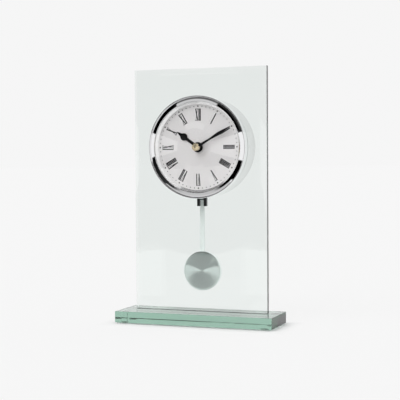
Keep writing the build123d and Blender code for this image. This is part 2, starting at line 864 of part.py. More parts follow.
with BuildPart() as centre_wheel:
    toothed_disc(layer(centre_layer), centre_teeth, centre_size, centre_turn, wheel_thickness)
    disc(layer(centre_layer), minute_arbor_radius + running_gap, wheel_thickness, mode=Mode.SUBTRACT)
    with BuildSketch(facing(layer(centre_layer))):
        with PolarLocations((minute_arbor_radius + centre_size * centre_teeth / 2) / 2, spoke_hole_count):
            Circle(spoke_hole_radius)
    extrude(amount=-wheel_thickness, mode=Mode.SUBTRACT)
keep(centre_wheel, "centre_wheel")

with BuildPart() as third_wheel:
    train_arbor(third_place)
    toothed_disc(
        layer(centre_layer - pinion_overlap), third_pinion_teeth, centre_size, third_pinion_turn,
        third_layer - centre_layer + pinion_overlap, third_place)
    toothed_disc(layer(third_layer), third_teeth, third_size, third_turn, wheel_thickness, third_place)
keep(third_wheel, "third_wheel")

second_start = cannon_end - arbor_bore_depth + pivot_end_gap
with BuildPart() as second_wheel:
    disc(layer(second_start), pivot_radius, rear_pivot_end - second_start)
    second_shoulder = cannon_end + pivot_end_gap
    disc(layer(second_shoulder), arbor_radius, arbor_end - second_shoulder)
    toothed_disc(
        layer(third_layer - pinion_overlap), second_pinion_teeth, third_size, second_pinion_turn,
        second_layer - third_layer + pinion_overlap)
    toothed_disc(layer(second_layer), second_teeth, second_size, second_turn, wheel_thickness)
keep(second_wheel, "second_wheel")

with BuildPart() as intermediate_wheel:
    train_arbor(intermediate_place)
    toothed_disc(
        layer(second_layer - pinion_overlap), intermediate_pinion_teeth, second_size,
        intermediate_pinion_turn, intermediate_layer - second_layer + pinion_overlap, intermediate_place)
    toothed_disc(
        layer(intermediate_layer), intermediate_teeth, rotor_size, intermediate_turn, wheel_thickness,
        intermediate_place)
keep(intermediate_wheel, "intermediate_wheel")

stator_layer = third_layer
magnet_layer = stator_layer + stator_thickness / 2 - magnet_height / 2
with BuildPart() as rotor:
    train_arbor(rotor_place)
    disc(layer(magnet_layer), magnet_radius, magnet_height, rotor_place)
    toothed_disc(
        layer(intermediate_layer - pinion_overlap), rotor_pinion_teeth, rotor_size, rotor_turn,
        wheel_thickness + 2 * pinion_overlap, rotor_place)
keep(rotor, "rotor")

# Stepping motor
coil_height = rotor_place[1] - motor_coil_drop
stator_back = stator_layer + stator_thickness
leg_offset = stator_width / 2 - stator_leg_width / 2
leg_length = motor_coil_drop + motor_core_width / 2
with BuildPart() as stator:
    with BuildSketch(facing(layer(stator_layer), *rotor_place)):
        Rectangle(stator_width, stator_bar)
        with Locations((-leg_offset, -leg_length / 2), (leg_offset, -leg_length / 2)):
            Rectangle(stator_leg_width, leg_length)
        Circle(magnet_radius + stator_bore_gap, mode=Mode.SUBTRACT)
    extrude(amount=-stator_thickness)
keep(stator, "stator")

with BuildPart() as coil_core:
    with BuildSketch(facing(layer(stator_back), rotor_place[0], coil_height)):
        Rectangle(stator_width, motor_core_width)
    extrude(amount=-motor_core_width)
keep(coil_core, "coil_core")

core_axis_layer = stator_back + motor_core_width / 2
coil_plane = Plane(
    origin=(rotor_place[0] - motor_coil_length / 2, layer(core_axis_layer), head_height + coil_height),
    x_dir=(0, 1, 0), z_dir=(1, 0, 0))
flange_plane = coil_plane.offset(motor_coil_length - bobbin_flange)
with BuildPart() as coil_bobbin:
    with BuildSketch(coil_plane, flange_plane):
        Circle(motor_coil_radius)
    extrude(amount=bobbin_flange)
    with BuildSketch(coil_plane):
        Rectangle(motor_core_width + 2 * bobbin_wall, motor_core_width + 2 * bobbin_wall)
    extrude(amount=motor_coil_length)
    with BuildSketch(coil_plane):
        Rectangle(motor_core_width, motor_core_width)
    extrude(amount=motor_coil_length, mode=Mode.SUBTRACT)
keep(coil_bobbin, "coil_bobbin")

with BuildPart() as motor_coil:
    with BuildSketch(coil_plane.offset(bobbin_flange)):
        Circle(motor_coil_radius - bobbin_wall)
        Rectangle(motor_core_width + 2 * bobbin_wall, motor_core_width + 2 * bobbin_wall, mode=Mode.SUBTRACT)
    extrude(amount=motor_coil_length - 2 * bobbin_flange)
keep(motor_coil, "motor_coil")

# Circuit board
with BuildPart() as circuit_board:
    with BuildSketch(facing(layer(board_layer), board_x, board_z)):
        Rectangle(board_width, board_height)
    extrude(amount=-board_thickness)
keep(circuit_board, "circuit_board")

with BuildPart() as quartz_crystal:
    crystal_y = layer(board_layer - crystal_radius)
    with BuildSketch(Plane.XY.offset(head_height + board_z - crystal_length / 2)):
        with Locations((board_x, crystal_y)):
            Circle(crystal_radius)
    extrude(amount=crystal_length)
keep(quartz_crystal, "quartz_crystal")

# Battery and its contacts
battery_y = layer(battery_axis_layer)
battery_start = -(battery_length + battery_nub_length) / 2
battery_plane = Plane(
    origin=(battery_start, battery_y, head_height + battery_height), x_dir=(0, 1, 0), z_dir=(1, 0, 0))
with BuildPart() as battery:
    with BuildSketch(battery_plane):
        Circle(battery_radius)
    extrude(amount=battery_length)
    chamfer(battery.edges(), battery_edge)
    with BuildSketch(battery_plane.offset(battery_length)):
        Circle(battery_nub_radius)
    extrude(amount=battery_nub_length)
keep(battery, "battery")


def contact(name, wall_x, touch_x):
    """Sheet metal contact: a plate on the bay's end wall and a tongue that bends in to the battery."""
    way = 1 if touch_x > wall_x else -1
    plate_x = wall_x + way * contact_thickness
    tongue_x = touch_x - way * contact_thickness
    half = contact_width / 2
    with BuildPart() as piece:
        with BuildSketch(Plane.XZ.offset(-battery_y)):
            with BuildLine():
                low = head_height + battery_height - half
                high = head_height + battery_height + half
                tongue_low = head_height + battery_height - contact_tongue / 2
                tongue_high = head_height + battery_height + contact_tongue / 2
                Polyline(
                    (wall_x, low), (wall_x, high), (plate_x, high), (plate_x, low + contact_foot),
                    (tongue_x, tongue_low + contact_thickness), (tongue_x, tongue_high),
                    (touch_x, tongue_high), (touch_x, tongue_low),
                    (plate_x + way * contact_thickness, low), close=True)
            make_face()
        extrude(amount=contact_width / 4, both=True)
    keep(piece, name)


contact("battery_contact_minus", -bay_width / 2, battery_start)
contact("battery_contact_plus", bay_width / 2, battery_start + battery_length + battery_nub_length)

# Setting knob
knob_front = drum_back - knob_inset - knob_height
with BuildPart() as set_knob:
    disc(layer(front_pivot_end), knob_pivot_radius, arbor_start - front_pivot_end, knob_place)
    disc(layer(arbor_start), knob_shaft_radius, knob_front - movement_front - arbor_start, knob_place)
    toothed_disc(layer(cannon_front), knob_teeth, cannon_size, knob_turn, cannon_length, knob_place)
    with BuildSketch(facing(depth(knob_front), *knob_place)):
        Circle(knob_radius)
        with PolarLocations(knob_radius, knob_flute_count):
            Circle(knob_flute_radius, mode=Mode.SUBTRACT)
    extrude(amount=-knob_height)
keep(set_knob, "set_knob")

# Pendulum housing, coil and pin
housing_top = -half_size
housing_middle = housing_top - housing_height / 2
arm_front = pendulum_plane - arm_thickness / 2
arm_back = arm_front + arm_thickness
housing_front_wall = arm_front - movement_front - arm_side_gap
pin_start = housing_front_wall - pin_seat_depth
pivot_place = (0, -pivot_drop)
coil_front = arm_back + arm_magnet_height + drive_coil_gap
with BuildPart() as hanger_housing:
    with BuildSketch(facing(layer(0), 0, housing_middle)):
        Rectangle(housing_width, housing_height)
    extrude(amount=-housing_depth)
    fillet(hanger_housing.edges().filter_by(Axis.Y).group_by(Axis.Z)[0], housing_corner)
    with BuildSketch(facing(layer(housing_front_wall), 0, housing_middle - housing_wall)):
        Rectangle(housing_width - 2 * housing_wall, housing_height)
    extrude(amount=-(housing_depth - housing_front_wall - housing_wall), mode=Mode.SUBTRACT)
    disc(depth(arm_back + drive_coil_gap), arm_hub_radius - running_gap,
         movement_front + housing_depth - arm_back - drive_coil_gap, pivot_place)
    disc(layer(pin_start), pivot_pin_radius,
         housing_depth - pin_seat_depth - pin_start, pivot_place, Mode.SUBTRACT)
keep(hanger_housing, "hanger_housing")

with BuildPart() as pivot_pin:
    disc(layer(pin_start), pivot_pin_radius,
         housing_depth - pin_seat_depth - pin_start - pivot_end_gap, pivot_place)
keep(pivot_pin, "pivot_pin")

coil_place = (0, -pivot_drop - arm_magnet_drop)
with BuildPart() as pendulum_coil:
    disc(depth(coil_front), drive_coil_radius, drive_coil_height, coil_place)
    disc(depth(coil_front), drive_coil_core, drive_coil_height, coil_place, Mode.SUBTRACT)
keep(pendulum_coil, "pendulum_coil")

with BuildPart() as coil_former:
    former_back = movement_front + housing_depth - housing_wall
    disc(depth(coil_front), drive_coil_core, former_back - coil_front, coil_place)
    disc(depth(coil_front + drive_coil_height), drive_coil_radius,
         former_back - coil_front - drive_coil_height, coil_place)
keep(coil_former, "coil_former")

# Swing arm, rod and bob
arm_fork_top = -fork_top_drop
fork_half = fork_width / 2
leg_width = (fork_width - fork_gap) / 2
crossbar_middle = -fork_crossbar_drop
pivot_height = -pivot_drop
with BuildPart() as swing_arm:
    disc(depth(arm_front), arm_hub_radius, arm_thickness, (0, pivot_height))
    with BuildSketch(facing(depth(arm_front))):
        with BuildLine():
            Polyline(
                (-arm_width / 2, pivot_height), (arm_width / 2, pivot_height),
                (arm_width / 2, arm_fork_top + fork_half / 2), (fork_half, arm_fork_top),
                (fork_half, -fork_end_drop), (fork_half - leg_width, -fork_end_drop),
                (fork_half - leg_width, arm_fork_top - fork_half / 4),
                (-fork_half + leg_width, arm_fork_top - fork_half / 4),
                (-fork_half + leg_width, -fork_end_drop), (-fork_half, -fork_end_drop),
                (-fork_half, arm_fork_top), (-arm_width / 2, arm_fork_top + fork_half / 2), close=True)
        make_face()
    extrude(amount=-arm_thickness)
    leg_top = arm_fork_top - fork_half / 4
    leg_middle = (leg_top - fork_end_drop) / 2
    with BuildSketch(facing(depth(pendulum_plane - fork_depth / 2), 0, leg_middle)):
        with GridLocations(fork_width - leg_width, 0, 2, 1):
            Rectangle(leg_width, leg_top + fork_end_drop)
        with Locations((0, crossbar_middle - leg_middle)):
            Rectangle(fork_width - leg_width, fork_crossbar)
    extrude(amount=-fork_depth)
    disc(depth(arm_front), pivot_pin_radius + running_gap, arm_thickness, (0, pivot_height), Mode.SUBTRACT)
keep(swing_arm, "swing_arm")

with BuildPart() as arm_magnet:
    disc(depth(arm_back), arm_magnet_radius, arm_magnet_height, coil_place)
keep(arm_magnet, "arm_magnet")

rod_front = pendulum_plane - rod_thickness / 2
rod_top = crossbar_middle - fork_crossbar / 2
rod_end = -bob_drop + bob_radius - rod_overlap
hook_width = rod_neck_width
hook_reach = fork_depth + 2 * hook_gap
with BuildPart() as pendulum_rod:
    neck_end = rod_top - rod_neck_length
    with BuildSketch(facing(depth(rod_front), 0, (neck_end + rod_end) / 2)):
        Rectangle(rod_width, neck_end - rod_end)
    extrude(amount=-rod_thickness)
    with BuildSketch(facing(depth(rod_front), 0, (rod_top - hook_gap + neck_end) / 2)):
        Rectangle(rod_neck_width, rod_top - hook_gap - neck_end)
    extrude(amount=-rod_thickness)
    hook_side = Plane(origin=(-hook_width / 2, depth(pendulum_plane), head_height + crossbar_middle),
                      x_dir=(0, 1, 0), z_dir=(1, 0, 0))
    with BuildSketch(hook_side):
        Rectangle(hook_reach + 2 * hook_wall, fork_crossbar + 2 * hook_gap + 2 * hook_wall)
        Rectangle(hook_reach, fork_crossbar + 2 * hook_gap, mode=Mode.SUBTRACT)
        with Locations((-(hook_reach + hook_wall) / 2, -(hook_gap + hook_wall + hook_lip) / 2)):
            Rectangle(hook_wall, fork_crossbar + hook_gap + hook_wall - hook_lip, mode=Mode.SUBTRACT)
    extrude(amount=hook_width)
keep(pendulum_rod, "pendulum_rod")

bob_front = pendulum_plane - bob_thickness / 2
bob_height = head_height - bob_drop
bob_axis = Axis((0, 0, bob_height), (0, 1, 0))
bob_back = bob_front + bob_thickness
plate_front = pendulum_plane + rod_thickness / 2
with BuildPart() as bob:
    with BuildSketch(Plane.XY.offset(bob_height)):
        back_y = depth(bob_back)
        skin_y = depth(rod_front)
        inner = bob_radius - bob_wall
        with BuildLine():
            crown, middle, foot = dome_arc(bob_radius - bob_rim_width, bob_crown, bob_front)
            ThreePointArc(crown, middle, foot)
            Polyline(
                foot, (bob_radius - bob_edge, foot[1]), (bob_radius, foot[1] + bob_edge),
                (bob_radius, back_y), (inner, back_y), (inner, skin_y), (0, skin_y), crown)
        make_face()
    revolve(axis=bob_axis)
    with BuildSketch(facing(depth(rod_front), 0, bob_radius - bob_drop)):
        Rectangle(rod_width + 2 * bob_slot_gap, bob_slot_length)
    extrude(amount=-(bob_back - rod_front), mode=Mode.SUBTRACT)
keep(bob, "bob")

with BuildPart() as bob_plate:
    disc(depth(plate_front), bob_radius - bob_wall - plate_gap, bob_plate_thickness, (0, -bob_drop))
    with BuildSketch(facing(depth(plate_front), 0, -bob_drop)):
        with GridLocations(0, rivet_pitch, 1, 2):
            Circle(rivet_radius + thread_gap)
    extrude(amount=-bob_plate_thickness, mode=Mode.SUBTRACT)
keep(bob_plate, "bob_plate")

with BuildPart() as bob_rivets:
    rivet_back = plate_front + bob_plate_thickness
    with BuildSketch(facing(depth(plate_front), 0, -bob_drop)):
        with GridLocations(0, rivet_pitch, 1, 2):
            Circle(rivet_radius)
    extrude(amount=-bob_plate_thickness)
    with BuildSketch(facing(depth(rivet_back), 0, -bob_drop)):
        with GridLocations(0, rivet_pitch, 1, 2):
            Circle(rivet_head_radius)
    extrude(amount=-rivet_head_height)
keep(bob_rivets, "bob_rivets")

# Back cover, its screws and the battery door
cover_radius = drum_bore - cover_fit
door_place = battery_height
door_slide = door_height + door_travel
well_height = door_place + door_travel / 2
outer_depth = door_thickness - door_tongue_thickness
inner_depth = door_tongue_thickness + door_gap
pocket_floor = drum_back - outer_depth - inner_depth
with BuildPart() as back_cover:
    disc(depth(cover_front), cover_radius, cover_thickness)
    disc(depth(cover_front), knob_radius + knob_well_gap, cover_thickness, knob_place, Mode.SUBTRACT)
    with BuildSketch(facing(depth(cover_front))):
        with PolarLocations(cover_post_place, cover_post_count, cover_post_angle):
            Circle(cover_screw_radius + screw_gap)
    extrude(amount=-cover_thickness, mode=Mode.SUBTRACT)
    with BuildSketch(facing(depth(drum_back - cover_head_height))):
        with PolarLocations(cover_post_place, cover_post_count, cover_post_angle):
            Circle(cover_head_radius + screw_gap)
    extrude(amount=-cover_head_height, mode=Mode.SUBTRACT)
    with BuildSketch(facing(depth(cover_front), 0, door_place)):
        Rectangle(door_width - 2 * door_ledge, door_height - 2 * door_ledge)
    extrude(amount=-cover_thickness, mode=Mode.SUBTRACT)
    with BuildSketch(facing(depth(pocket_floor), 0, well_height)):
        Rectangle(door_width + 2 * door_gap, door_slide + 2 * door_gap)
    extrude(amount=-(outer_depth + inner_depth), mode=Mode.SUBTRACT)
    track_width = door_width + 2 * (door_tongue + door_gap)
    with BuildSketch(facing(depth(pocket_floor), 0, well_height)):
        Rectangle(track_width, door_tongue_length + door_travel + 2 * door_gap)
    extrude(amount=-inner_depth, mode=Mode.SUBTRACT)
    with BuildSketch(facing(depth(pocket_floor), 0, door_place + door_travel)):
        Rectangle(track_width, door_tongue_length + 2 * door_gap)
    extrude(amount=-(outer_depth + inner_depth), mode=Mode.SUBTRACT)
keep(back_cover, "back_cover")

with BuildPart() as battery_door:
    with BuildSketch(facing(depth(drum_back - outer_depth - door_tongue_thickness), 0, door_place)):
        Rectangle(door_width, door_height)
    extrude(amount=-door_thickness)
    with BuildSketch(facing(depth(drum_back - outer_depth - door_tongue_thickness), 0, door_place)):
        Rectangle(door_width + 2 * door_tongue, door_tongue_length)
    extrude(amount=-door_tongue_thickness)
    with BuildSketch(facing(depth(drum_back - door_grip_depth), 0, door_place - door_grip_drop)):
        with GridLocations(0, door_grip_pitch, 1, door_grip_count):
            Rectangle(door_grip_width, door_grip_height)
    extrude(amount=-door_grip_depth, mode=Mode.SUBTRACT)
keep(battery_door, "battery_door")

with BuildPart() as cover_screws:
    with BuildSketch(facing(depth(drum_back - cover_head_height))):
        with PolarLocations(cover_post_place, cover_post_count, cover_post_angle):
            Circle(cover_head_radius)
    extrude(amount=-(cover_head_height - thread_gap))
    with BuildSketch(facing(depth(drum_back - cover_head_height))):
        with PolarLocations(cover_post_place, cover_post_count, cover_post_angle):
            Circle(cover_screw_radius - thread_gap)
    extrude(amount=cover_thickness - cover_head_height + cover_screw_length - screw_gap)
    with BuildSketch(facing(depth(drum_back - thread_gap))):
        with PolarLocations(cover_post_place, cover_post_count, cover_post_angle):
            Rectangle(cover_head_radius, driver_slot_width)
            Rectangle(driver_slot_width, cover_head_radius)
    extrude(amount=driver_slot_depth, mode=Mode.SUBTRACT)
keep(cover_screws, "cover_screws")

os.makedirs("parts", exist_ok=True)
for piece in pieces:
    export_step(piece, f"parts/{piece.label}.step")
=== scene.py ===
import json
from math import cos, pi, radians, sin, tan

import bmesh
import bpy
import numpy as np
from bpy.props import FloatProperty, FloatVectorProperty, IntProperty, PointerProperty
from bpy.types import Operator, Panel, PropertyGroup
from mathutils import Matrix, Vector


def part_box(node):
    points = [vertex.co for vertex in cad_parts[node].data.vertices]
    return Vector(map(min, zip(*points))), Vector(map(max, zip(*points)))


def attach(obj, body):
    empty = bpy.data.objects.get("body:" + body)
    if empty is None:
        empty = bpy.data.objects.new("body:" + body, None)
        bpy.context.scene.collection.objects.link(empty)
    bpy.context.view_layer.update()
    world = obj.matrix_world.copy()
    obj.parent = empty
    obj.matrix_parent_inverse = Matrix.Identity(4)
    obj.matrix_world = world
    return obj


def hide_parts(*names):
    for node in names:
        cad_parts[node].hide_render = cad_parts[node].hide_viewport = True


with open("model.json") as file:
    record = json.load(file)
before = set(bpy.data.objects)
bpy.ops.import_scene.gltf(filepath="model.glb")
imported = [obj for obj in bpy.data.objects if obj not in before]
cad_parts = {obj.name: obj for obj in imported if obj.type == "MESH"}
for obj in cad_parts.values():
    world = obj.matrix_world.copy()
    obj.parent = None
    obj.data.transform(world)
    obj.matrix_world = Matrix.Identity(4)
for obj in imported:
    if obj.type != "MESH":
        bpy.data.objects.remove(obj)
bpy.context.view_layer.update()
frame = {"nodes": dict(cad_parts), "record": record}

bl_info = {
    "name": "Glass pendulum clock",
    "version": (1, 0, 0),
    "blender": (4, 5, 0),
    "location": "View3D > Sidebar > Clock",
    "description": "Dresses the packed desk clock in glass, chrome, silver and black",
    "category": "Object",
}

# Lengths are in metres, as in the frame. The clock's front looks along -Y and +Z is up.
MM = 0.001
NODES = frame["nodes"]


def middle(node):
    """Middle of a CAD node's box."""
    low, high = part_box(node)
    return (low + high) / 2


def radius_of(node):
    """Radius of a round CAD node, from its box's width."""
    low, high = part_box(node)
    return (high.x - low.x) / 2


HEAD = middle("lens")
BOB = middle("bob")

# Sizes of the front ring and of the lens that their CAD boxes don't tell
RING_WALL = 3.8 * MM
RING_FLANGE = 0.4 * MM
BEAD_WIDTH = 1.3 * MM
BEAD_ROUNDING = 0.65 * MM
BAND_DROP = 1.4 * MM
BAND_FALL = 0.6 * MM
BAND_ROUNDING = 20.0 * MM
BAND_INNER_TILT = radians(5.5)
BAND_OUTER_TILT = radians(9.5)
FLARE_TILT = radians(35.0)
# The chrome's painted paler reflection and its rougher gloss cover the flare inside this radius, and
# fade out over the width beyond it
FLARE_RADIUS = 48.2 * MM
FLARE_FADE = 0.2 * MM
VIEW_RADIUS = 45.7 * MM
LENS_GAP = 0.1 * MM
LENS_THICKNESS = 1.2 * MM
SEAT_RADIUS = radius_of("lens") + LENS_GAP

# Posts of the front ring, which pass through the glass
POST_COUNT = 4
POST_RADIUS = 2.2 * MM
POST_PLACE = 48.85 * MM
POST_GAP = 0.3 * MM

# Sizes of the bob that its CAD box doesn't tell
BOB_RIM_WIDTH = 1.6 * MM
BOB_EDGE = 1.2 * MM
BOB_CROWN = 0.4 * MM
BOB_WALL = 1.4 * MM
ROD_THICKNESS = 0.8 * MM

# Roundings of fine edges, and the angles in degrees past which an edge is shaded sharp
FINE_EDGE = 0.1 * MM
GROOVE_EDGE = 0.02 * MM
SHARP_ANGLE = 30.0
GROOVE_SHARP_ANGLE = 12.0

# Points of a piece's mesh, and of a CAD node's mesh, that are nearer than this are one point
PIECE_WELD = 0.0001 * MM
NODE_WELD = 0.001 * MM


# Settings that a user would change


class GlassSettings(PropertyGroup):
    tint: FloatVectorProperty(
        name="Tint", description="Colour that is left after a long way through the glass",
        subtype="COLOR", default=(0.18, 0.54, 0.38), min=0, max=1)
    density: FloatProperty(
        name="Tint density", description="How fast the base takes its tint, per metre",
        default=23.0, min=0)
    panel_density: FloatProperty(
        name="Panel density", description="How fast the panel takes its tint, per metre",
        default=18.0, min=0)


class DialSettings(PropertyGroup):
    silver: FloatVectorProperty(
        name="Silver", description="Colour of the dial",
        subtype="COLOR", default=(0.87, 0.855, 0.855), min=0, max=1)
    numeral_foot: FloatProperty(
        name="Numeral foot", description="Radius at the numerals' inner ends",
        unit="LENGTH", default=28.2 * MM)
    numeral_head: FloatProperty(
        name="Numeral head", description="Radius at the numerals' outer ends",
        unit="LENGTH", default=40.9 * MM)
    thick_stroke: FloatProperty(
        name="Thick stroke", description="Width of a numeral's thick strokes",
        unit="LENGTH", default=1.25 * MM)
    thin_stroke: FloatProperty(
        name="Thin stroke", description="Width of a numeral's thin strokes",
        unit="LENGTH", default=0.5 * MM)
    dot_place: FloatProperty(
        name="Dot ring", description="Radius of the ring of minute dots",
        unit="LENGTH", default=43.5 * MM)
    hour_dot: FloatProperty(
        name="Hour dot", description="Radius of the dots at the hours",
        unit="LENGTH", default=0.8 * MM)
    minute_dot: FloatProperty(
        name="Minute dot", description="Radius of the other dots",
        unit="LENGTH", default=0.5 * MM)


class PendulumSettings(PropertyGroup):
    groove_count: IntProperty(
        name="Grooves", description="Turned grooves on the bob's face", default=40, min=4)
    groove_depth: FloatProperty(
        name="Groove depth", description="Depth of a turned groove",
        unit="LENGTH", default=0.028 * MM)


class StageSettings(PropertyGroup):
    backdrop: FloatProperty(
        name="Backdrop", description="Brightness of the floor and of the backdrop",
        default=0.92, min=0, max=1)
    sky: FloatProperty(
        name="Soft light", description="Strength of the light from all around", default=0.9, min=0)
    key: FloatProperty(
        name="Key lamp", description="Strength of the key lamp", default=0.9, min=0)


GROUPS = {
    "clock_glass": GlassSettings, "clock_dial": DialSettings, "clock_pendulum": PendulumSettings,
    "clock_stage": StageSettings}


# Shader maths


class Shade:
    """An output in a material's tree. Sums, differences and products of it add Math nodes there."""

    def __init__(self, tree, socket=None):
        self.tree = tree
        self.socket = socket

    def node(self, kind, settings=None, inputs=None, output=0):
        """Add a node, with its settings set before its inputs, and return one of its outputs."""
        made = self.tree.nodes.new(kind)
        for key, value in (settings or {}).items():
            setattr(made, key, value)
        for key, value in (inputs or {}).items():
            if isinstance(value, Shade):
                self.tree.links.new(value.socket, made.inputs[key])
            else:
                made.inputs[key].default_value = value
        return Shade(self.tree, made.outputs[output])

    def output(self, name):
        """Another output of the node that this value comes from."""
        return Shade(self.tree, self.socket.node.outputs[name])

    def math(self, operation, *others):
        """This value and any others, put through a Math node."""
        values = dict(enumerate((self, *others)))
        return self.node("ShaderNodeMath", {"operation": operation}, values)

    def mix(self, low, high):
        """Colour between two colours, by this value."""
        return self.node(
            "ShaderNodeMix", {"data_type": "RGBA"}, {0: self, 6: (*low, 1.0), 7: (*high, 1.0)}, 2)

    def step(self, low, high):
        """0 where this value is below low, 1 above high and smooth between them."""
        return self.node(
            "ShaderNodeMapRange", {"interpolation_type": "SMOOTHSTEP"},
            {"Value": self, "From Min": low, "From Max": high})

    def around(self, centre, spread):
        """A value within half the spread to each side of a centre, by this value from 0 to 1."""
        return self * spread + (centre - spread / 2)

    def __add__(self, other):
        return self.math("ADD", other)

    def __sub__(self, other):
        return self.math("SUBTRACT", other)

    def __mul__(self, other):
        return self.math("MULTIPLY", other)


class Finish:
    """A material with one Principled shader. Constants are set on its inputs by name."""

    def __init__(self, name, color, **constants):
        self.material = bpy.data.materials.new(name)
        self.material.use_nodes = True
        self.tree = self.material.node_tree
        self.shader = self.tree.nodes["Principled BSDF"]
        self.start = Shade(self.tree)
        self.set("Base Color", (*color, 1.0))
        for key, value in constants.items():
            self.set(key.replace("_", " ").title().replace("Ior", "IOR"), value)

    def set(self, key, value):
        """Set one of the shader's inputs to a constant, or link a shade to it."""
        if isinstance(value, Shade):
            self.tree.links.new(value.socket, self.shader.inputs[key])
        else:
            self.shader.inputs[key].default_value = value

    def place(self, centre=(0.0, 0.0, 0.0), scale=1.0):
        """Object coordinates counted from a centre, in units of 1 / scale metres."""
        coordinates = self.start.node("ShaderNodeTexCoord", output="Object")
        shift = tuple(-scale * c for c in centre)
        return self.start.node(
            "ShaderNodeMapping", {"vector_type": "POINT"},
            {"Vector": coordinates, "Location": shift, "Scale": (scale,) * 3})

    def parts(self, vector):
        """X, Y and Z of a vector."""
        split = self.start.node("ShaderNodeSeparateXYZ", None, {"Vector": vector})
        return [split.output(axis) for axis in range(3)]

    def reach(self, centre):
        """Distance from the axis along Y through a centre."""
        x, _, z = self.parts(self.place(centre))
        return (x * x + z * z).math("SQRT")

    def noise(self, scale, detail=3.0, vector=None):
        """Cloudy noise from 0 to 1 with so many patches a metre."""
        return self.start.node(
            "ShaderNodeTexNoise", None,
            {"Vector": vector or self.place(), "Scale": scale, "Detail": detail})

    def bump(self, height, depth, strength=1.0):
        """Normal of a surface that a height from 0 to 1 raises by a depth in metres."""
        self.set("Normal", self.start.node(
            "ShaderNodeBump", None, {"Strength": strength, "Distance": depth, "Height": height}))


# Finishes


def glass(name, tint=None, density=0.0, ior=1.52):
    """Clear polished glass. A tint makes it darken along a ray's way inside."""
    made = Finish(name, (1.0, 1.0, 1.0), roughness=0.0, ior=ior, transmission_weight=1.0)
    if tint:
        inside = made.start.node(
            "ShaderNodeVolumeAbsorption", None, {"Color": (*tint, 1.0), "Density": density})
        made.tree.links.new(inside.socket, made.tree.nodes["Material Output"].inputs["Volume"])
    return made.material


def chrome():
    """Polished chrome plate with faint cloudy wear in its gloss, rougher on the flare, where its
    paler tone is a painted reflection.
    """
    plate = (0.86, 0.86, 0.87)
    made = Finish("polished_chrome", plate, metallic=1.0)
    band_not_painted_flare = made.reach(HEAD).step(FLARE_RADIUS, FLARE_RADIUS + FLARE_FADE)
    # Painted reflection: the flare's chrome is given a paler tone than the band's
    made.set("Base Color", band_not_painted_flare.mix((0.96, 0.96, 0.96), plate))
    made.set("Roughness", made.noise(180.0).around(0.13, 0.03) - band_not_painted_flare * 0.1)
    return made.material


def silver():
    """Silvered dial with a fine blasted grain."""
    pale = tuple(bpy.context.scene.clock_dial.silver)
    made = Finish("silver_dial", pale, metallic=0.25, roughness=0.40)
    grain = made.noise(9000.0, 2.0)
    made.set("Base Color", grain.mix(tuple(0.96 * c for c in pale), pale))
    made.bump(grain, 0.004 * MM)
    return made.material


def ink():
    """Black dial print."""
    made = Finish("dial_ink", (0.012, 0.012, 0.014), specular_ior_level=0.3)
    made.set("Roughness", made.noise(4000.0).around(0.425, 0.15))
    return made.material


def enamel():
    """Satin black enamel on the hands."""
    made = Finish("black_hand", (0.006, 0.006, 0.007), specular_ior_level=0.25)
    made.set("Roughness", made.noise(2500.0).around(0.3, 0.2))
    return made.material


def moulded(name, low, high, roughness=0.42):
    """Moulded plastic or rubber with a fine spark-eroded grain."""
    made = Finish(name, high)
    grain = made.noise(2600.0, 2.0)
    made.set("Base Color", made.noise(60.0).mix(low, high))
    made.set("Roughness", grain.around(roughness, 0.16))
    made.bump(grain, 0.02 * MM, 0.5)
    return made.material


def metal(name, low, high, roughness, metallic=1.0):
    """Metal with fine marks, drawn out along the Y axis."""
    made = Finish(name, high, metallic=metallic)
    coordinates = made.start.node("ShaderNodeTexCoord", output="Object")
    drawn = made.start.node(
        "ShaderNodeMapping", None, {"Vector": coordinates, "Scale": (2200.0, 60.0, 2200.0)})
    marks = made.noise(1.0, 2.0, drawn)
    made.set("Base Color", marks.mix(low, high))
    made.set("Roughness", marks.around(roughness, 0.18))
    return made.material


def winding():
    """Enamelled copper wire, 0.25 mm from turn to turn. Shade is painted darker into the grooves
    between turns and a highlight paler onto their crowns.
    """
    made = Finish("copper", (0.55, 0.22, 0.09), metallic=0.8)
    across = made.parts(made.place(scale=1 / (0.25 * MM)))[0]
    ridge = (across * (2 * pi)).math("SINE") * 0.5 + 0.5
    # Painted shade and highlight: the colour is darker in the grooves between turns and paler on
    # their crowns
    made.set("Base Color", ridge.mix((0.30, 0.10, 0.04), (0.75, 0.34, 0.15)))
    made.set("Roughness", ridge.around(0.35, 0.1))
    made.bump(ridge, 0.06 * MM)
    return made.material


def spun():
    """Turned metal. Its tone and roughness change a little from ring to ring about the bob."""
    pale = (0.92, 0.97, 0.96)
    made = Finish("spun_metal", pale, metallic=1.0)
    tone = made.start.node(
        "ShaderNodeTexNoise", {"noise_dimensions": "1D"},
        {"W": made.reach(BOB), "Scale": 1900.0, "Detail": 4.0})
    made.set("Base Color", tone.mix((0.82, 0.87, 0.86), pale))
    made.set("Roughness", tone.around(0.095, 0.05))
    return made.material


# Surfaces

# A rounded corner takes at most this share of the straight run beside it
RUN_SHARE = 0.45

# The point outside a curve's end is this far from it, and at most this share of the run
LEAD = 0.02 * MM
LEAD_SHARE = 0.02


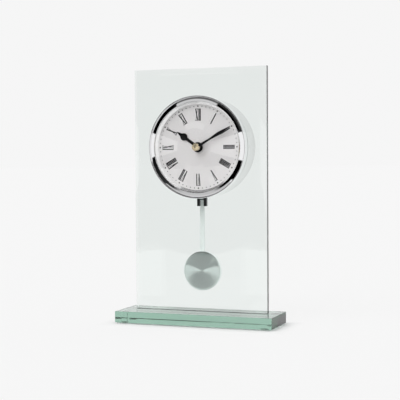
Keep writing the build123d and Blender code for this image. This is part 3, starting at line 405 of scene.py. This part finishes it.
def rounded_profile(corners, radii, steps=6):
    """Closed profile with rounded corners. Each corner is a curve that starts and ends one radius
    times the tangent of half the turn before and after it: (1 - t)^2 times the start, 2 t (1 - t)
    times the corner and t^2 times the end. A point just outside each end keeps the straight runs
    straight when they are shaded."""
    corners = np.array(corners, float)
    radii = np.array(radii, float)[:, None]
    before = np.roll(corners, 1, 0) - corners
    after = np.roll(corners, -1, 0) - corners
    before_length = np.linalg.norm(before, axis=1)[:, None]
    after_length = np.linalg.norm(after, axis=1)[:, None]
    before /= before_length
    after /= after_length
    opening = np.arccos(np.clip((before * after).sum(1), -1, 1))[:, None]
    longest = RUN_SHARE * np.minimum(before_length, after_length)
    reach = np.minimum(radii / np.tan(opening / 2), longest)
    start = corners + before * reach
    end = corners + after * reach
    t = np.linspace(0, 1, steps)[None, :, None]
    curve = (
        (1 - t) ** 2 * start[:, None] + 2 * t * (1 - t) * corners[:, None] + t ** 2 * end[:, None])
    lead = (start + before * np.minimum(LEAD, LEAD_SHARE * before_length))[:, None]
    trail = (end + after * np.minimum(LEAD, LEAD_SHARE * after_length))[:, None]
    return np.concatenate([lead, curve, trail], 1).reshape(-1, 2)


def grid_faces(rows, columns, closed_rows=True, closed_columns=True):
    """Corner numbers of the quads between neighbouring points of a grid."""
    i, j = np.meshgrid(
        np.arange(rows if closed_rows else rows - 1),
        np.arange(columns if closed_columns else columns - 1), indexing="ij")
    i, j = i.ravel(), j.ravel()
    i_next, j_next = (i + 1) % rows, (j + 1) % columns
    return np.stack([
        i * columns + j, i_next * columns + j, i_next * columns + j_next, i * columns + j_next], 1)


def new_object(name, points, faces):
    """A mesh object from points and faces, linked to the scene."""
    mesh = bpy.data.meshes.new(name)
    mesh.from_pydata(np.asarray(points).reshape(-1, 3).tolist(), [], [list(face) for face in faces])
    made = bpy.data.objects.new(name, mesh)
    bpy.context.scene.collection.objects.link(made)
    return made


def build(name, points, faces, finish, body, stands_for=(), sharp_angle=SHARP_ANGLE):
    """Make a piece from points and faces, close its poles, turn its faces outwards and hang it on a
    body."""
    piece = new_object(name, points, faces)
    mesh = piece.data
    work = bmesh.new()
    work.from_mesh(mesh)
    bmesh.ops.remove_doubles(work, verts=work.verts, dist=PIECE_WELD)
    bmesh.ops.recalc_face_normals(work, faces=work.faces)
    work.to_mesh(mesh)
    work.free()
    mesh.shade_smooth()
    mesh.set_sharp_from_angle(angle=radians(sharp_angle))
    mesh.materials.append(finish)
    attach(piece, body)
    if stands_for:
        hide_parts(*stands_for)
    return piece


def turned(profile, centre, turns=192):
    """Points of a profile of radius and depth turned about the axis along Y through a centre: x is
    radius times the sine of the turn, z is radius times its cosine, and y is the depth."""
    turn = np.linspace(0, 2 * pi, turns, endpoint=False)[:, None]
    radius, depth = profile[:, 0][None], profile[:, 1][None]
    return np.stack([
        centre[0] + radius * np.sin(turn), depth + 0 * turn, centre[2] + radius * np.cos(turn)], 2)


def bar(x, z, radius, front, back, turns=32):
    """Points and faces of a round bar along Y, with a flat disc at each end."""
    profile = np.array([(0.0, front), (radius, front), (radius, back), (0.0, back)])
    faces = grid_faces(turns, len(profile), closed_columns=False)
    return turned(profile, (x, 0.0, z), turns), faces


def dome(edge, rise, crown, count=40):
    """Radius and depth along a spherical dome: the ball's radius is half of edge squared over rise,
    plus half of the rise."""
    ball = (edge ** 2 / rise + rise) / 2
    turn = np.linspace(0, np.arcsin(edge / ball), count)
    return np.stack([ball * np.sin(turn), crown + ball * (1 - np.cos(turn))], 1)


def prisms(outlines, front, thickness):
    """Points and faces of flat prisms that share one count of corners. Outlines hold x and z, and y
    runs back from the front over the thickness."""
    outlines = np.asarray(outlines, float)
    count, corners = outlines.shape[:2]
    x, z = outlines[..., 0], outlines[..., 1]
    layers = [np.stack([x, np.full_like(x, y), z], 2) for y in (front, front + thickness)]
    points = np.stack(layers, 1).reshape(-1, 3)
    first = (np.arange(count) * 2 * corners)[:, None]
    ring = np.arange(corners)[None]
    ahead = (ring + 1) % corners
    back = first + corners
    sides = np.stack([first + ring, first + ahead, back + ahead, back + ring], 2)
    faces = [*(first + ring), *(back + ring[:, ::-1]), *sides.reshape(-1, 4)]
    return points, faces


def joined(*shells):
    """One list of points and one of faces out of several."""
    points, faces, count = [], [], 0
    for own_points, own_faces in shells:
        own_points = np.asarray(own_points).reshape(-1, 3)
        points.append(own_points)
        faces += [np.asarray(face) + count for face in own_faces]
        count += len(own_points)
    return np.concatenate(points), faces


# Dressing the CAD nodes


def smoothing():
    """Geometry nodes that join a mesh's points and shade it smooth but for its sharp edges."""
    made = bpy.data.node_groups.get("smooth_round_faces")
    if made:
        return made
    made = bpy.data.node_groups.new("smooth_round_faces", "GeometryNodeTree")
    made.interface.new_socket("Geometry", in_out="INPUT", socket_type="NodeSocketGeometry")
    made.interface.new_socket("Geometry", in_out="OUTPUT", socket_type="NodeSocketGeometry")
    add, link = made.nodes.new, made.links.new
    start, end = add("NodeGroupInput"), add("NodeGroupOutput")
    weld = add("GeometryNodeMergeByDistance")
    faces, edges = add("GeometryNodeSetShadeSmooth"), add("GeometryNodeSetShadeSmooth")
    angle, small = add("GeometryNodeInputMeshEdgeAngle"), add("FunctionNodeCompare")
    weld.inputs["Distance"].default_value = NODE_WELD
    edges.domain = "EDGE"
    small.operation = "LESS_THAN"
    small.inputs[1].default_value = radians(SHARP_ANGLE)
    link(start.outputs[0], weld.inputs["Geometry"])
    link(weld.outputs[0], faces.inputs["Geometry"])
    link(faces.outputs[0], edges.inputs["Geometry"])
    link(angle.outputs["Unsigned Angle"], small.inputs[0])
    link(small.outputs[0], edges.inputs["Shade Smooth"])
    link(edges.outputs[0], end.inputs[0])
    return made


def smooth(node):
    """Shade a CAD node's round faces smooth."""
    piece = NODES[node]
    piece.modifiers.new("smooth", "NODES").node_group = smoothing()
    piece.modifiers.new("flat_faces", "WEIGHTED_NORMAL").keep_sharp = True


def dress(material, *nodes):
    """Give CAD nodes their finish, and shade their round faces smooth."""
    for node in nodes:
        for place in NODES[node].material_slots:
            place.material = material
        smooth(node)


class CLOCK_OT_glass(Operator):
    """Give the base and the panel their glass, and finish the pieces that touch it"""
    bl_idname = "clock.glass"
    bl_label = "Glass"

    def execute(self, context):
        settings = context.scene.clock_glass
        tint = tuple(settings.tint)
        dress(glass("glass_base", tint, settings.density), "glass_base")
        dress(glass("glass_panel", tint, settings.panel_density), "glass_panel")
        dress(glass("clear_bond", ior=1.48), "panel_bond")
        NODES["glass_panel"].visible_shadow = False
        pads = [node for node in NODES if node.startswith("foot_pad")]
        dress(moulded("foot_rubber", (0.55, 0.57, 0.56), (0.68, 0.70, 0.69), 0.5), *pads)
        seal = moulded("clear_gasket", (0.55, 0.58, 0.56), (0.66, 0.69, 0.67), 0.5)
        dress(seal, "front_gasket", "rear_gasket")
        return {"FINISHED"}


# Head


def make_ring():
    """Turn the ring's section: the rounded bead, the gently crowned band, the seat of the lens and
    the flare down to the dial. The band's middle corner is where its two end tangents meet. The
    posts behind the dial are round bars."""
    outer = radius_of("front_ring")
    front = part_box("front_ring")[0].y
    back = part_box("front_gasket")[0].y
    dial_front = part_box("dial")[0].y
    lens_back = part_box("lens")[1].y
    band_outer, bore = outer - BEAD_WIDTH, outer - RING_WALL
    band_front = front + BAND_DROP
    band_back = band_front - BAND_FALL
    inner_slope, outer_slope = tan(BAND_INNER_TILT), tan(BAND_OUTER_TILT)
    shift = (outer_slope * (band_outer - SEAT_RADIUS) - BAND_FALL) / (outer_slope - inner_slope)
    flare_top = SEAT_RADIUS - FINE_EDGE
    flare_back = dial_front - RING_FLANGE
    flare_front = flare_back - tan(FLARE_TILT) * (flare_top - VIEW_RADIUS)
    corners = [
        (band_outer, front), (outer, front),
        (outer, back), (bore, back), (bore, dial_front), (VIEW_RADIUS, dial_front),
        (VIEW_RADIUS, flare_back), (flare_top, flare_front), (flare_top, lens_back),
        (SEAT_RADIUS, lens_back), (SEAT_RADIUS, band_back),
        (SEAT_RADIUS + shift, band_back + inner_slope * shift), (band_outer, band_front)]
    radii = [BEAD_ROUNDING] * 2 + [FINE_EDGE] * 9 + [BAND_ROUNDING, FINE_EDGE]
    points = turned(rounded_profile(corners, radii), HEAD)
    ring = points, grid_faces(*points.shape[:2])
    post_front = dial_front + FINE_EDGE
    post_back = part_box("rear_drum")[0].y - POST_GAP
    turns = (np.arange(POST_COUNT) + 0.5) * 2 * pi / POST_COUNT
    posts = [
        bar(HEAD.x + POST_PLACE * sin(turn), HEAD.z + POST_PLACE * cos(turn),
            POST_RADIUS, post_front, post_back)
        for turn in turns]
    points, faces = joined(ring, *posts)
    build("front_ring_metal", points, faces, chrome(), "clock", ["front_ring"])


def make_lens():
    """Turn the lens: two domes of one form, one thickness apart. It casts no shadow, so that the
    lamps reach the dial."""
    low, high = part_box("lens")
    edge = radius_of("lens")
    rise = high.y - low.y - LENS_THICKNESS
    outer = dome(edge, rise, low.y)
    inner = dome(edge, rise, low.y + LENS_THICKNESS)
    points = turned(np.concatenate([outer, inner[::-1]]), HEAD)
    faces = grid_faces(*points.shape[:2], closed_columns=False)
    lens = build("lens_glass", points, faces, glass("lens_glass"), "clock", ["lens"])
    lens.visible_shadow = False


class CLOCK_OT_head(Operator):
    """Turn the chrome ring and the domed lens, and smooth the drum"""
    bl_idname = "clock.head"
    bl_label = "Head"

    def execute(self, context):
        make_ring()
        make_lens()
        smooth("rear_drum")
        return {"FINISHED"}


# Dial print

# Strokes of each letter: the places of the stroke's head and foot, from -1 at the left to 1 at
# the right, and whether it is thick
STROKES = {
    "I": ((0, 0, True),),
    "V": ((-1, 0, True), (1, 0, False)),
    "X": ((-1, 1, True), (1, -1, False)),
}
LETTER_WIDTH = {"I": 1.45 * MM, "V": 3.6 * MM, "X": 3.8 * MM}
STROKE_INSET_SHARE = 0.62
SERIF_SHARE = 0.98
NUMERALS = ("XII", "I", "II", "III", "IIII", "V", "VI", "VII", "VIII", "IX", "X", "XI")
DOT_CORNERS = 16
PRINT_HEIGHT = 0.02 * MM


def numeral_strokes(numeral, settings):
    """Quads of one upright numeral, centred on x = 0, with z from its foot to its head."""
    foot, head = settings.numeral_foot, settings.numeral_head
    serif = settings.thin_stroke
    widths = [LETTER_WIDTH[letter] for letter in numeral]
    lefts = np.cumsum([0.0] + widths[:-1]) - sum(widths) / 2
    quads = []

    def stroke(x_foot, x_head, half, low, high):
        quads.append([
            (x_foot - half, low), (x_foot + half, low),
            (x_head + half, high), (x_head - half, high)])

    for letter, left, width in zip(numeral, lefts, widths):
        centre = left + width / 2
        swing = width / 2 - settings.thick_stroke * STROKE_INSET_SHARE
        for at_head, at_foot, thick in STROKES[letter]:
            half = (settings.thick_stroke if thick else settings.thin_stroke) / 2
            stroke(centre + at_foot * swing, centre + at_head * swing, half, foot, head)
        half = width / 2 * SERIF_SHARE
        stroke(centre, centre, half, head - serif, head)
        if letter == "V":
            half = settings.thick_stroke / 2
        stroke(centre, centre, half, foot, foot + serif)
    return np.array(quads)


def at_hour(points, hour):
    """Turn points of x and z clockwise about the head's axis: the new x is x cos + z sin, and the
    new z is z cos - x sin."""
    turn = hour * pi / 6
    x, z = points[..., 0], points[..., 1]
    return np.stack([
        HEAD.x + x * cos(turn) + z * sin(turn), HEAD.z - x * sin(turn) + z * cos(turn)], -1)


def numeral_outlines(settings):
    """Outlines of all the numerals' strokes, in their places on the dial."""
    return np.concatenate([
        at_hour(numeral_strokes(numeral, settings), hour) for hour, numeral in enumerate(NUMERALS)])


def dot_outlines(settings):
    """Outlines of the sixty dots, of which each fifth is larger."""
    minute = np.arange(60)[:, None]
    size = np.where(minute % 5 == 0, settings.hour_dot, settings.minute_dot)
    turn = minute * pi / 30
    around = np.linspace(0, 2 * pi, DOT_CORNERS, endpoint=False)
    return np.stack([
        HEAD.x + settings.dot_place * np.sin(turn) + size * np.cos(around),
        HEAD.z + settings.dot_place * np.cos(turn) + size * np.sin(around)], 2)


class CLOCK_OT_dial(Operator):
    """Silver the dial and print its numerals and dots"""
    bl_idname = "clock.dial"
    bl_label = "Dial"

    def execute(self, context):
        settings = context.scene.clock_dial
        dress(silver(), "dial")
        black = ink()
        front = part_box("dial")[0].y - PRINT_HEIGHT
        prints = {"dial_numerals": numeral_outlines(settings), "dial_dots": dot_outlines(settings)}
        for name, outlines in prints.items():
            points, faces = prisms(outlines, front, PRINT_HEIGHT)
            build(name, points, faces, black, "clock")
        return {"FINISHED"}


class CLOCK_OT_hands(Operator):
    """Finish the hands and the cap that holds them"""
    bl_idname = "clock.hands"
    bl_label = "Hands"

    def execute(self, context):
        dress(enamel(), "hour_hand", "minute_hand")
        dress(metal("brass", (0.78, 0.66, 0.44), (0.90, 0.79, 0.56), 0.25), "hand_cap")
        return {"FINISHED"}


# Pendulum


def make_bob(settings):
    """Turn the bob. Its face is the cap of a ball, cut back by a zigzag over the radius that runs
    from the groove depth to 0 and back once a groove. The rim is rounded. The back is hollow, down
    to the rod that lies between the bob and its plate."""
    low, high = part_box("bob")
    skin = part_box("bob_plate")[0].y - ROD_THICKNESS
    radius = radius_of("bob")
    rim, bore = radius - BOB_RIM_WIDTH, radius - BOB_WALL
    reach = np.linspace(0, rim, 2 * settings.groove_count + 1)
    ball = (rim ** 2 / BOB_CROWN + BOB_CROWN) / 2
    fall = ball - np.sqrt(ball ** 2 - reach ** 2)
    groove = settings.groove_depth * abs(2 * ((settings.groove_count * reach / rim) % 1) - 1)
    face = np.stack([reach, low.y + fall + groove], 1)
    edge = low.y + BOB_CROWN
    corners = [(rim, edge), (radius, edge), (radius, high.y), (bore, high.y), (bore, skin)]
    rounded = rounded_profile(corners, [GROOVE_EDGE, BOB_EDGE] + [FINE_EDGE] * 3)
    profile = np.concatenate([face, rounded[3:], [(0.0, skin)]])
    points = turned(profile, BOB)
    faces = grid_faces(*points.shape[:2], closed_columns=False)
    build("bob_face", points, faces, spun(), "pendulum", ["bob"], GROOVE_SHARP_ANGLE)


class CLOCK_OT_pendulum(Operator):
    """Turn the bob and finish the rod and the swing arm"""
    bl_idname = "clock.pendulum"
    bl_label = "Pendulum"

    def execute(self, context):
        make_bob(context.scene.clock_pendulum)
        steel = metal("steel", (0.50, 0.50, 0.50), (0.62, 0.62, 0.62), 0.35)
        dress(steel, "bob_plate", "bob_rivets")
        # Painted reflection: the rod gets a near-white matt colour with no metal, standing for the
        # white surroundings that its metal mirrors
        dress(metal("pale_metal", (0.97, 0.98, 0.98), (0.99, 1.0, 1.0), 0.5, 0.0), "pendulum_rod")
        black = moulded("black_plastic", (0.010, 0.010, 0.011), (0.020, 0.020, 0.022), 0.35)
        dress(black, "swing_arm")
        return {"FINISHED"}


# Movement

# Nodes in these slots keep the frame's plain finish, but for those that another operator dresses
PLAIN_SLOTS = ("black_plastic", "steel", "brass")
DRESSED_ELSEWHERE = ("swing_arm", "hand_cap", "bob_plate", "bob_rivets")


class CLOCK_OT_movement(Operator):
    """Finish or smooth what the drum holds and what closes it"""
    bl_idname = "clock.movement"
    bl_label = "Movement"

    def execute(self, context):
        finishes = {
            "white_plastic": moulded("white_plastic", (0.78, 0.78, 0.75), (0.86, 0.86, 0.84)),
            "magnet": metal("magnet", (0.22, 0.22, 0.24), (0.34, 0.34, 0.36), 0.5),
            "copper": winding(),
            "board_green": moulded("board_green", (0.02, 0.14, 0.06), (0.03, 0.20, 0.09), 0.3),
            "battery_wrap": moulded("battery_wrap", (0.08, 0.09, 0.11), (0.12, 0.13, 0.16), 0.25)}
        for part in frame["record"]["subparts"]:
            node, slot = part["node"], part["material_slot"]
            if slot in finishes:
                dress(finishes[slot], node)
            elif slot in PLAIN_SLOTS and node not in DRESSED_ELSEWHERE:
                smooth(node)
        return {"FINISHED"}


# Stage

# The camera stands where a fit to the photo puts it. Its turns are in degrees, and the length of
# its lens is in millimetres.
CAMERA_PLACE = (0.39996, -1.06607, 0.172985)
CAMERA_TURN = 20.567
CAMERA_TILT = 2.026
CAMERA_ROLL = -0.356
LENS_LENGTH = 95.77

# The floor is paper beside the base, with its shadow, and glows like the backdrop further out.
# Under the glow a share of the paper stays.
FLOOR_RADIUS = 40.0
FLOOR_CORNERS = 64
CONTACT_REACH = 0.02
PAPER_SHARE = 0.15

# Lamps: turns about X, Y and Z, share of the key lamp's strength, and spread, in degrees
LAMPS = (("key", (38, -22, 0), 1.0, 40), ("fill", (45, -35, 0), 0.6, 50))

UP = np.array((0.0, 0.0, 1.0))

# The wall of cards is made of sectors. Each runs anticlockwise from the end of the one before it to
# its own end, in degrees from the right. Then follows the brightness at each of the wall's radii,
# at the sector's start and at its end.
CARD_DISTANCE = 0.62
WALL_RADII = (0.0, 0.235, 0.25, 0.46, 0.50, 1.1)
WALL_SECTORS = (
    ("right_light", 17.9, (1, 1, 1, 1, 1, 1), (1, 1, 1, 1, 1, 1)),
    ("upper_right_dark", 63.8, (0, 0, 0.03, 0.04, 0.04, 0.04), (0, 0, 0.03, 0.04, 0.04, 0.04)),
    ("top_light", 118.8, (0.66, 0.66, 0.14, 0.14, 0.2, 0.2), (0.66, 0.66, 0.14, 0.14, 0.2, 0.2)),
    ("upper_left_dark", 163.8, (0, 0, 0, 0, 0.2, 0.2), (0, 0, 0, 0, 0.8, 0.8)),
    ("left_light", 190.8, (1, 1, 1, 1, 1, 1), (1, 1, 1, 1, 1, 1)),
    ("lower_left_dark", 235.0, (0, 0, 0, 0, 0.8, 0.8), (0.04, 0.04, 0.04, 0.04, 0.6, 0.6)),
    ("bottom_left", 250.0, (0.04, 0.04, 0.04, 0.04, 0.6, 0.6), (0.62, 0.62, 0.62, 0.62, 0.6, 0.6)),
    ("bottom", 290.0, (0.62, 0.62, 0.62, 0.62, 0.6, 0.6), (0.62, 0.62, 0.62, 0.62, 0.6, 0.6)),
    ("bottom_right", 302.0, (0.62, 0.62, 0.62, 0.62, 0.6, 0.6), (0, 0, 0, 0, 0.6, 0.6)),
    ("lower_right_dark", 343.8, (0, 0, 0, 0, 0.6, 0.6), (0, 0, 0, 0, 0.8, 0.8)))
SECTOR_STEPS = 8

# A dark disc hangs before the middle of the wall. Over the ramp to its right it turns white.
MIDDLE_LEAD = 2 * MM
MIDDLE_RADIUS = 0.18
MIDDLE_TONE = 0.05
MIDDLE_RAMP = (0.14, 0.18)
MIDDLE_TURNS = 33
MIDDLE_RINGS = 13

# Rows of the level cards: distance ahead of the clock, left and right end across it, and brightness
CARD_LIFT = 1 * MM
FLOOR_CARD = (
    (0.04, -0.03, 0.03, 0.7), (0.40, -0.15, 0.15, 0.7),
    (0.45, -0.165, 0.165, 0.6), (0.62, -0.2, 0.2, 0.6))
CEILING_HEIGHT = 0.8
CEILING_CARD = ((-0.3, -0.75, 0.13, 0.15), (0.7, -0.75, 0.13, 0.15))

# White cards stand on the floor to the left and to the right, over this span across
LOW_CARD_DISTANCE = 0.22
LOW_CARD_HEIGHT = 0.06
LOW_CARD_SPAN = (0.052, 0.35)


def card_light():
    """Emission by the tone of the card's points. It shows only on a ray that some surface has
    mirrored and that no matt surface has scattered, so cards show in reflections and don't light
    the clock."""
    material = bpy.data.materials.new("card_light")
    material.use_nodes = True
    tree = material.node_tree
    start = Shade(tree)
    tone = start.node("ShaderNodeAttribute", {"attribute_name": "tone"}, output="Fac")
    glow = start.node("ShaderNodeEmission", None, {"Color": tone, "Strength": 1.0})
    clear = start.node("ShaderNodeBsdfTransparent")
    path = start.node("ShaderNodeLightPath")
    scattered = path.output("Diffuse Depth").math("GREATER_THAN", 0.5)
    direct = path.output("Glossy Depth").math("LESS_THAN", 0.5)
    hidden = scattered.math("MAXIMUM", direct)
    seen = start.node("ShaderNodeMixShader", None, {0: hidden, 1: glow, 2: clear})
    tree.links.new(seen.socket, tree.nodes["Material Output"].inputs["Surface"])
    return material


def card(name, points, tones, light):
    """Hang a card from a grid of points, with a brightness at each point."""
    points = np.asarray(points)
    faces = grid_faces(*points.shape[:2], closed_rows=False, closed_columns=False)
    piece = new_object(name, points, faces)
    tone = piece.data.attributes.new("tone", "FLOAT", "POINT")
    tone.data.foreach_set("value", np.asarray(tones, float).ravel())
    piece.data.materials.append(light)
    for sight in ("camera", "diffuse", "shadow", "volume_scatter"):
        setattr(piece, "visible_" + sight, False)


def card_axes():
    """Middle of the wall of cards, and the level directions away from the clock and across. The
    middle is what the head's flat front mirrors to the camera: where the line from the mirrored
    camera through the head's middle meets the wall."""
    mirrored = Vector(CAMERA_PLACE)
    mirrored.y = 2 * HEAD.y - mirrored.y
    away = HEAD - mirrored
    away /= Vector((away.x, away.y, 0)).length
    centre = HEAD + CARD_DISTANCE * away
    return np.array(centre), np.array((away.x, away.y, 0.0)), np.array((-away.y, away.x, 0.0))


def fan(centre, across, turn, radii):
    """Points about a centre, a row for each turn: each radius times the cosine of the turn across,
    and times its sine upwards."""
    turn = turn[:, None, None]
    return centre + np.asarray(radii)[None, :, None] * (np.cos(turn) * across + np.sin(turn) * UP)


def hang_wall(centre, across, light):
    """Hang the sectors of the wall. The brightness runs evenly from a sector's start to its end."""
    way = np.linspace(0, 1, SECTOR_STEPS)
    start = WALL_SECTORS[-1][1] - 360
    for name, end, first, last in WALL_SECTORS:
        points = fan(centre, across, np.radians(start + way * (end - start)), WALL_RADII)
        card(name, points, np.outer(1 - way, first) + np.outer(way, last), light)
        start = end


def hang_middle(centre, across, light):
    """Hang the dark disc."""
    turn = np.linspace(0, 2 * pi, MIDDLE_TURNS)
    reach = np.linspace(0, MIDDLE_RADIUS, MIDDLE_RINGS)
    tones = np.interp(np.outer(np.cos(turn), reach), MIDDLE_RAMP, (MIDDLE_TONE, 1.0))
    card("middle_card", fan(centre, across, turn, reach), tones, light)


def hang_cards():
    """Hang the cards in front of the clock, which its metal and its glass mirror."""
    light = card_light()
    centre, away, across = card_axes()
    hang_wall(centre, across, light)
    hang_middle(centre - MIDDLE_LEAD * away, across, light)
    foot = np.array((HEAD.x, HEAD.y, 0.0))
    for name, height, rows in (
            ("floor_card", CARD_LIFT, FLOOR_CARD), ("ceiling_card", CEILING_HEIGHT, CEILING_CARD)):
        points = [
            [foot + UP * height + away * along + across * side for side in (left, right)]
            for along, left, right, _ in rows]
        card(name, points, [[tone] * 2 for *_, tone in rows], light)
    foot += away * LOW_CARD_DISTANCE
    for name, side in (("low_left_card", -1), ("low_right_card", 1)):
        points = [
            [foot + across * side * reach + UP * height for reach in LOW_CARD_SPAN]
            for height in (CARD_LIFT, LOW_CARD_HEIGHT)]
        card(name, points, np.ones((2, 2)), light)


class CLOCK_OT_stage(Operator):
    """Lay the floor, hang the backdrop and the cards, and place the lamps and the camera"""
    bl_idname = "clock.stage"
    bl_label = "Stage"

    def execute(self, context):
        settings = context.scene.clock_stage
        self.floor(settings)
        self.world(settings)
        hang_cards()
        self.lamps(settings)
        self.camera(context)
        context.scene.view_settings.view_transform = "Standard"
        return {"FINISHED"}

    def floor(self, settings):
        around = np.linspace(0, 2 * pi, FLOOR_CORNERS, endpoint=False)
        points = FLOOR_RADIUS * np.stack([np.cos(around), np.sin(around), 0 * around], 1)
        floor = new_object("floor", points, [range(FLOOR_CORNERS)])
        made = Finish("floor_paper", (0.80, 0.80, 0.80), roughness=1.0, specular_ior_level=0.0)
        low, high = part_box("glass_base")
        half = (high - low) / 2
        x, y, _ = made.parts(made.place((low + high) / 2))
        outside = (x.math("ABSOLUTE") - half.x).math("MAXIMUM", y.math("ABSOLUTE") - half.y)
        fade = outside.step(0.0, CONTACT_REACH) * (1 - PAPER_SHARE)
        paper = Shade(made.tree, made.shader.outputs[0])
        tone = settings.backdrop
        glow = made.start.node("ShaderNodeEmission", None, {"Color": (tone, tone, tone, 1.0)})
        mixed = made.start.node("ShaderNodeMixShader", None, {0: fade, 1: paper, 2: glow})
        made.tree.links.new(mixed.socket, made.tree.nodes["Material Output"].inputs["Surface"])
        floor.data.materials.append(made.material)

    def world(self, settings):
        """Light from all around. Seen, mirrored or through glass, it is as bright as the backdrop."""
        world = bpy.data.worlds.new("studio")
        bpy.context.scene.world = world
        world.use_nodes = True
        tree = world.node_tree
        path = Shade(tree).node("ShaderNodeLightPath")
        camera, glossy, transmission = [
            path.output(f"Is {kind} Ray") for kind in ("Camera", "Glossy", "Transmission")]
        seen = camera.math("MAXIMUM", glossy.math("MAXIMUM", transmission))
        sky = tree.nodes["Background"]
        sky.inputs["Color"].default_value = (1.0, 1.0, 1.0, 1.0)
        strength = seen * (settings.backdrop - settings.sky) + settings.sky
        tree.links.new(strength.socket, sky.inputs["Strength"])

    def lamps(self, settings):
        for name, turn, share, spread in LAMPS:
            lamp = bpy.data.lights.new(name, "SUN")
            lamp.energy = settings.key * share
            lamp.angle = radians(spread)
            placed = bpy.data.objects.new(name, lamp)
            placed.rotation_euler = [radians(angle) for angle in turn]
            placed.visible_glossy = False
            bpy.context.scene.collection.objects.link(placed)

    def camera(self, context):
        turn, tilt, roll = radians(CAMERA_TURN), radians(CAMERA_TILT), radians(CAMERA_ROLL)
        ahead = Vector((-sin(turn) * cos(tilt), cos(turn) * cos(tilt), -sin(tilt)))
        right = Vector((cos(turn), sin(turn), 0))
        up = right.cross(ahead)
        right, up = right * cos(roll) + up * sin(roll), up * cos(roll) - right * sin(roll)
        view = bpy.data.cameras.new("camera")
        view.lens = LENS_LENGTH
        placed = bpy.data.objects.new("camera", view)
        turned_to = Matrix((right, up, -ahead)).transposed().to_4x4()
        placed.matrix_world = Matrix.Translation(CAMERA_PLACE) @ turned_to
        context.scene.collection.objects.link(placed)
        context.scene.camera = placed


OPERATORS = (
    CLOCK_OT_glass, CLOCK_OT_head, CLOCK_OT_dial, CLOCK_OT_hands, CLOCK_OT_pendulum,
    CLOCK_OT_movement, CLOCK_OT_stage)


class CLOCK_PT_panel(Panel):
    """Lists the clock's pieces and their settings"""
    bl_label = "Pendulum clock"
    bl_space_type = "VIEW_3D"
    bl_region_type = "UI"
    bl_category = "Clock"

    def draw(self, context):
        for operator in OPERATORS:
            self.layout.operator(operator.bl_idname)
        for name, group in GROUPS.items():
            for key in group.__annotations__:
                self.layout.prop(getattr(context.scene, name), key)


CLASSES = (*GROUPS.values(), *OPERATORS, CLOCK_PT_panel)


def register():
    for made in CLASSES:
        bpy.utils.register_class(made)
    for name, group in GROUPS.items():
        setattr(bpy.types.Scene, name, PointerProperty(type=group))


def unregister():
    for name in GROUPS:
        delattr(bpy.types.Scene, name)
    for made in reversed(CLASSES):
        bpy.utils.unregister_class(made)


def main():
    register()
    for operator in OPERATORS:
        group, name = operator.bl_idname.split(".")
        getattr(getattr(bpy.ops, group), name)()


if __name__ == "__main__":
    main()
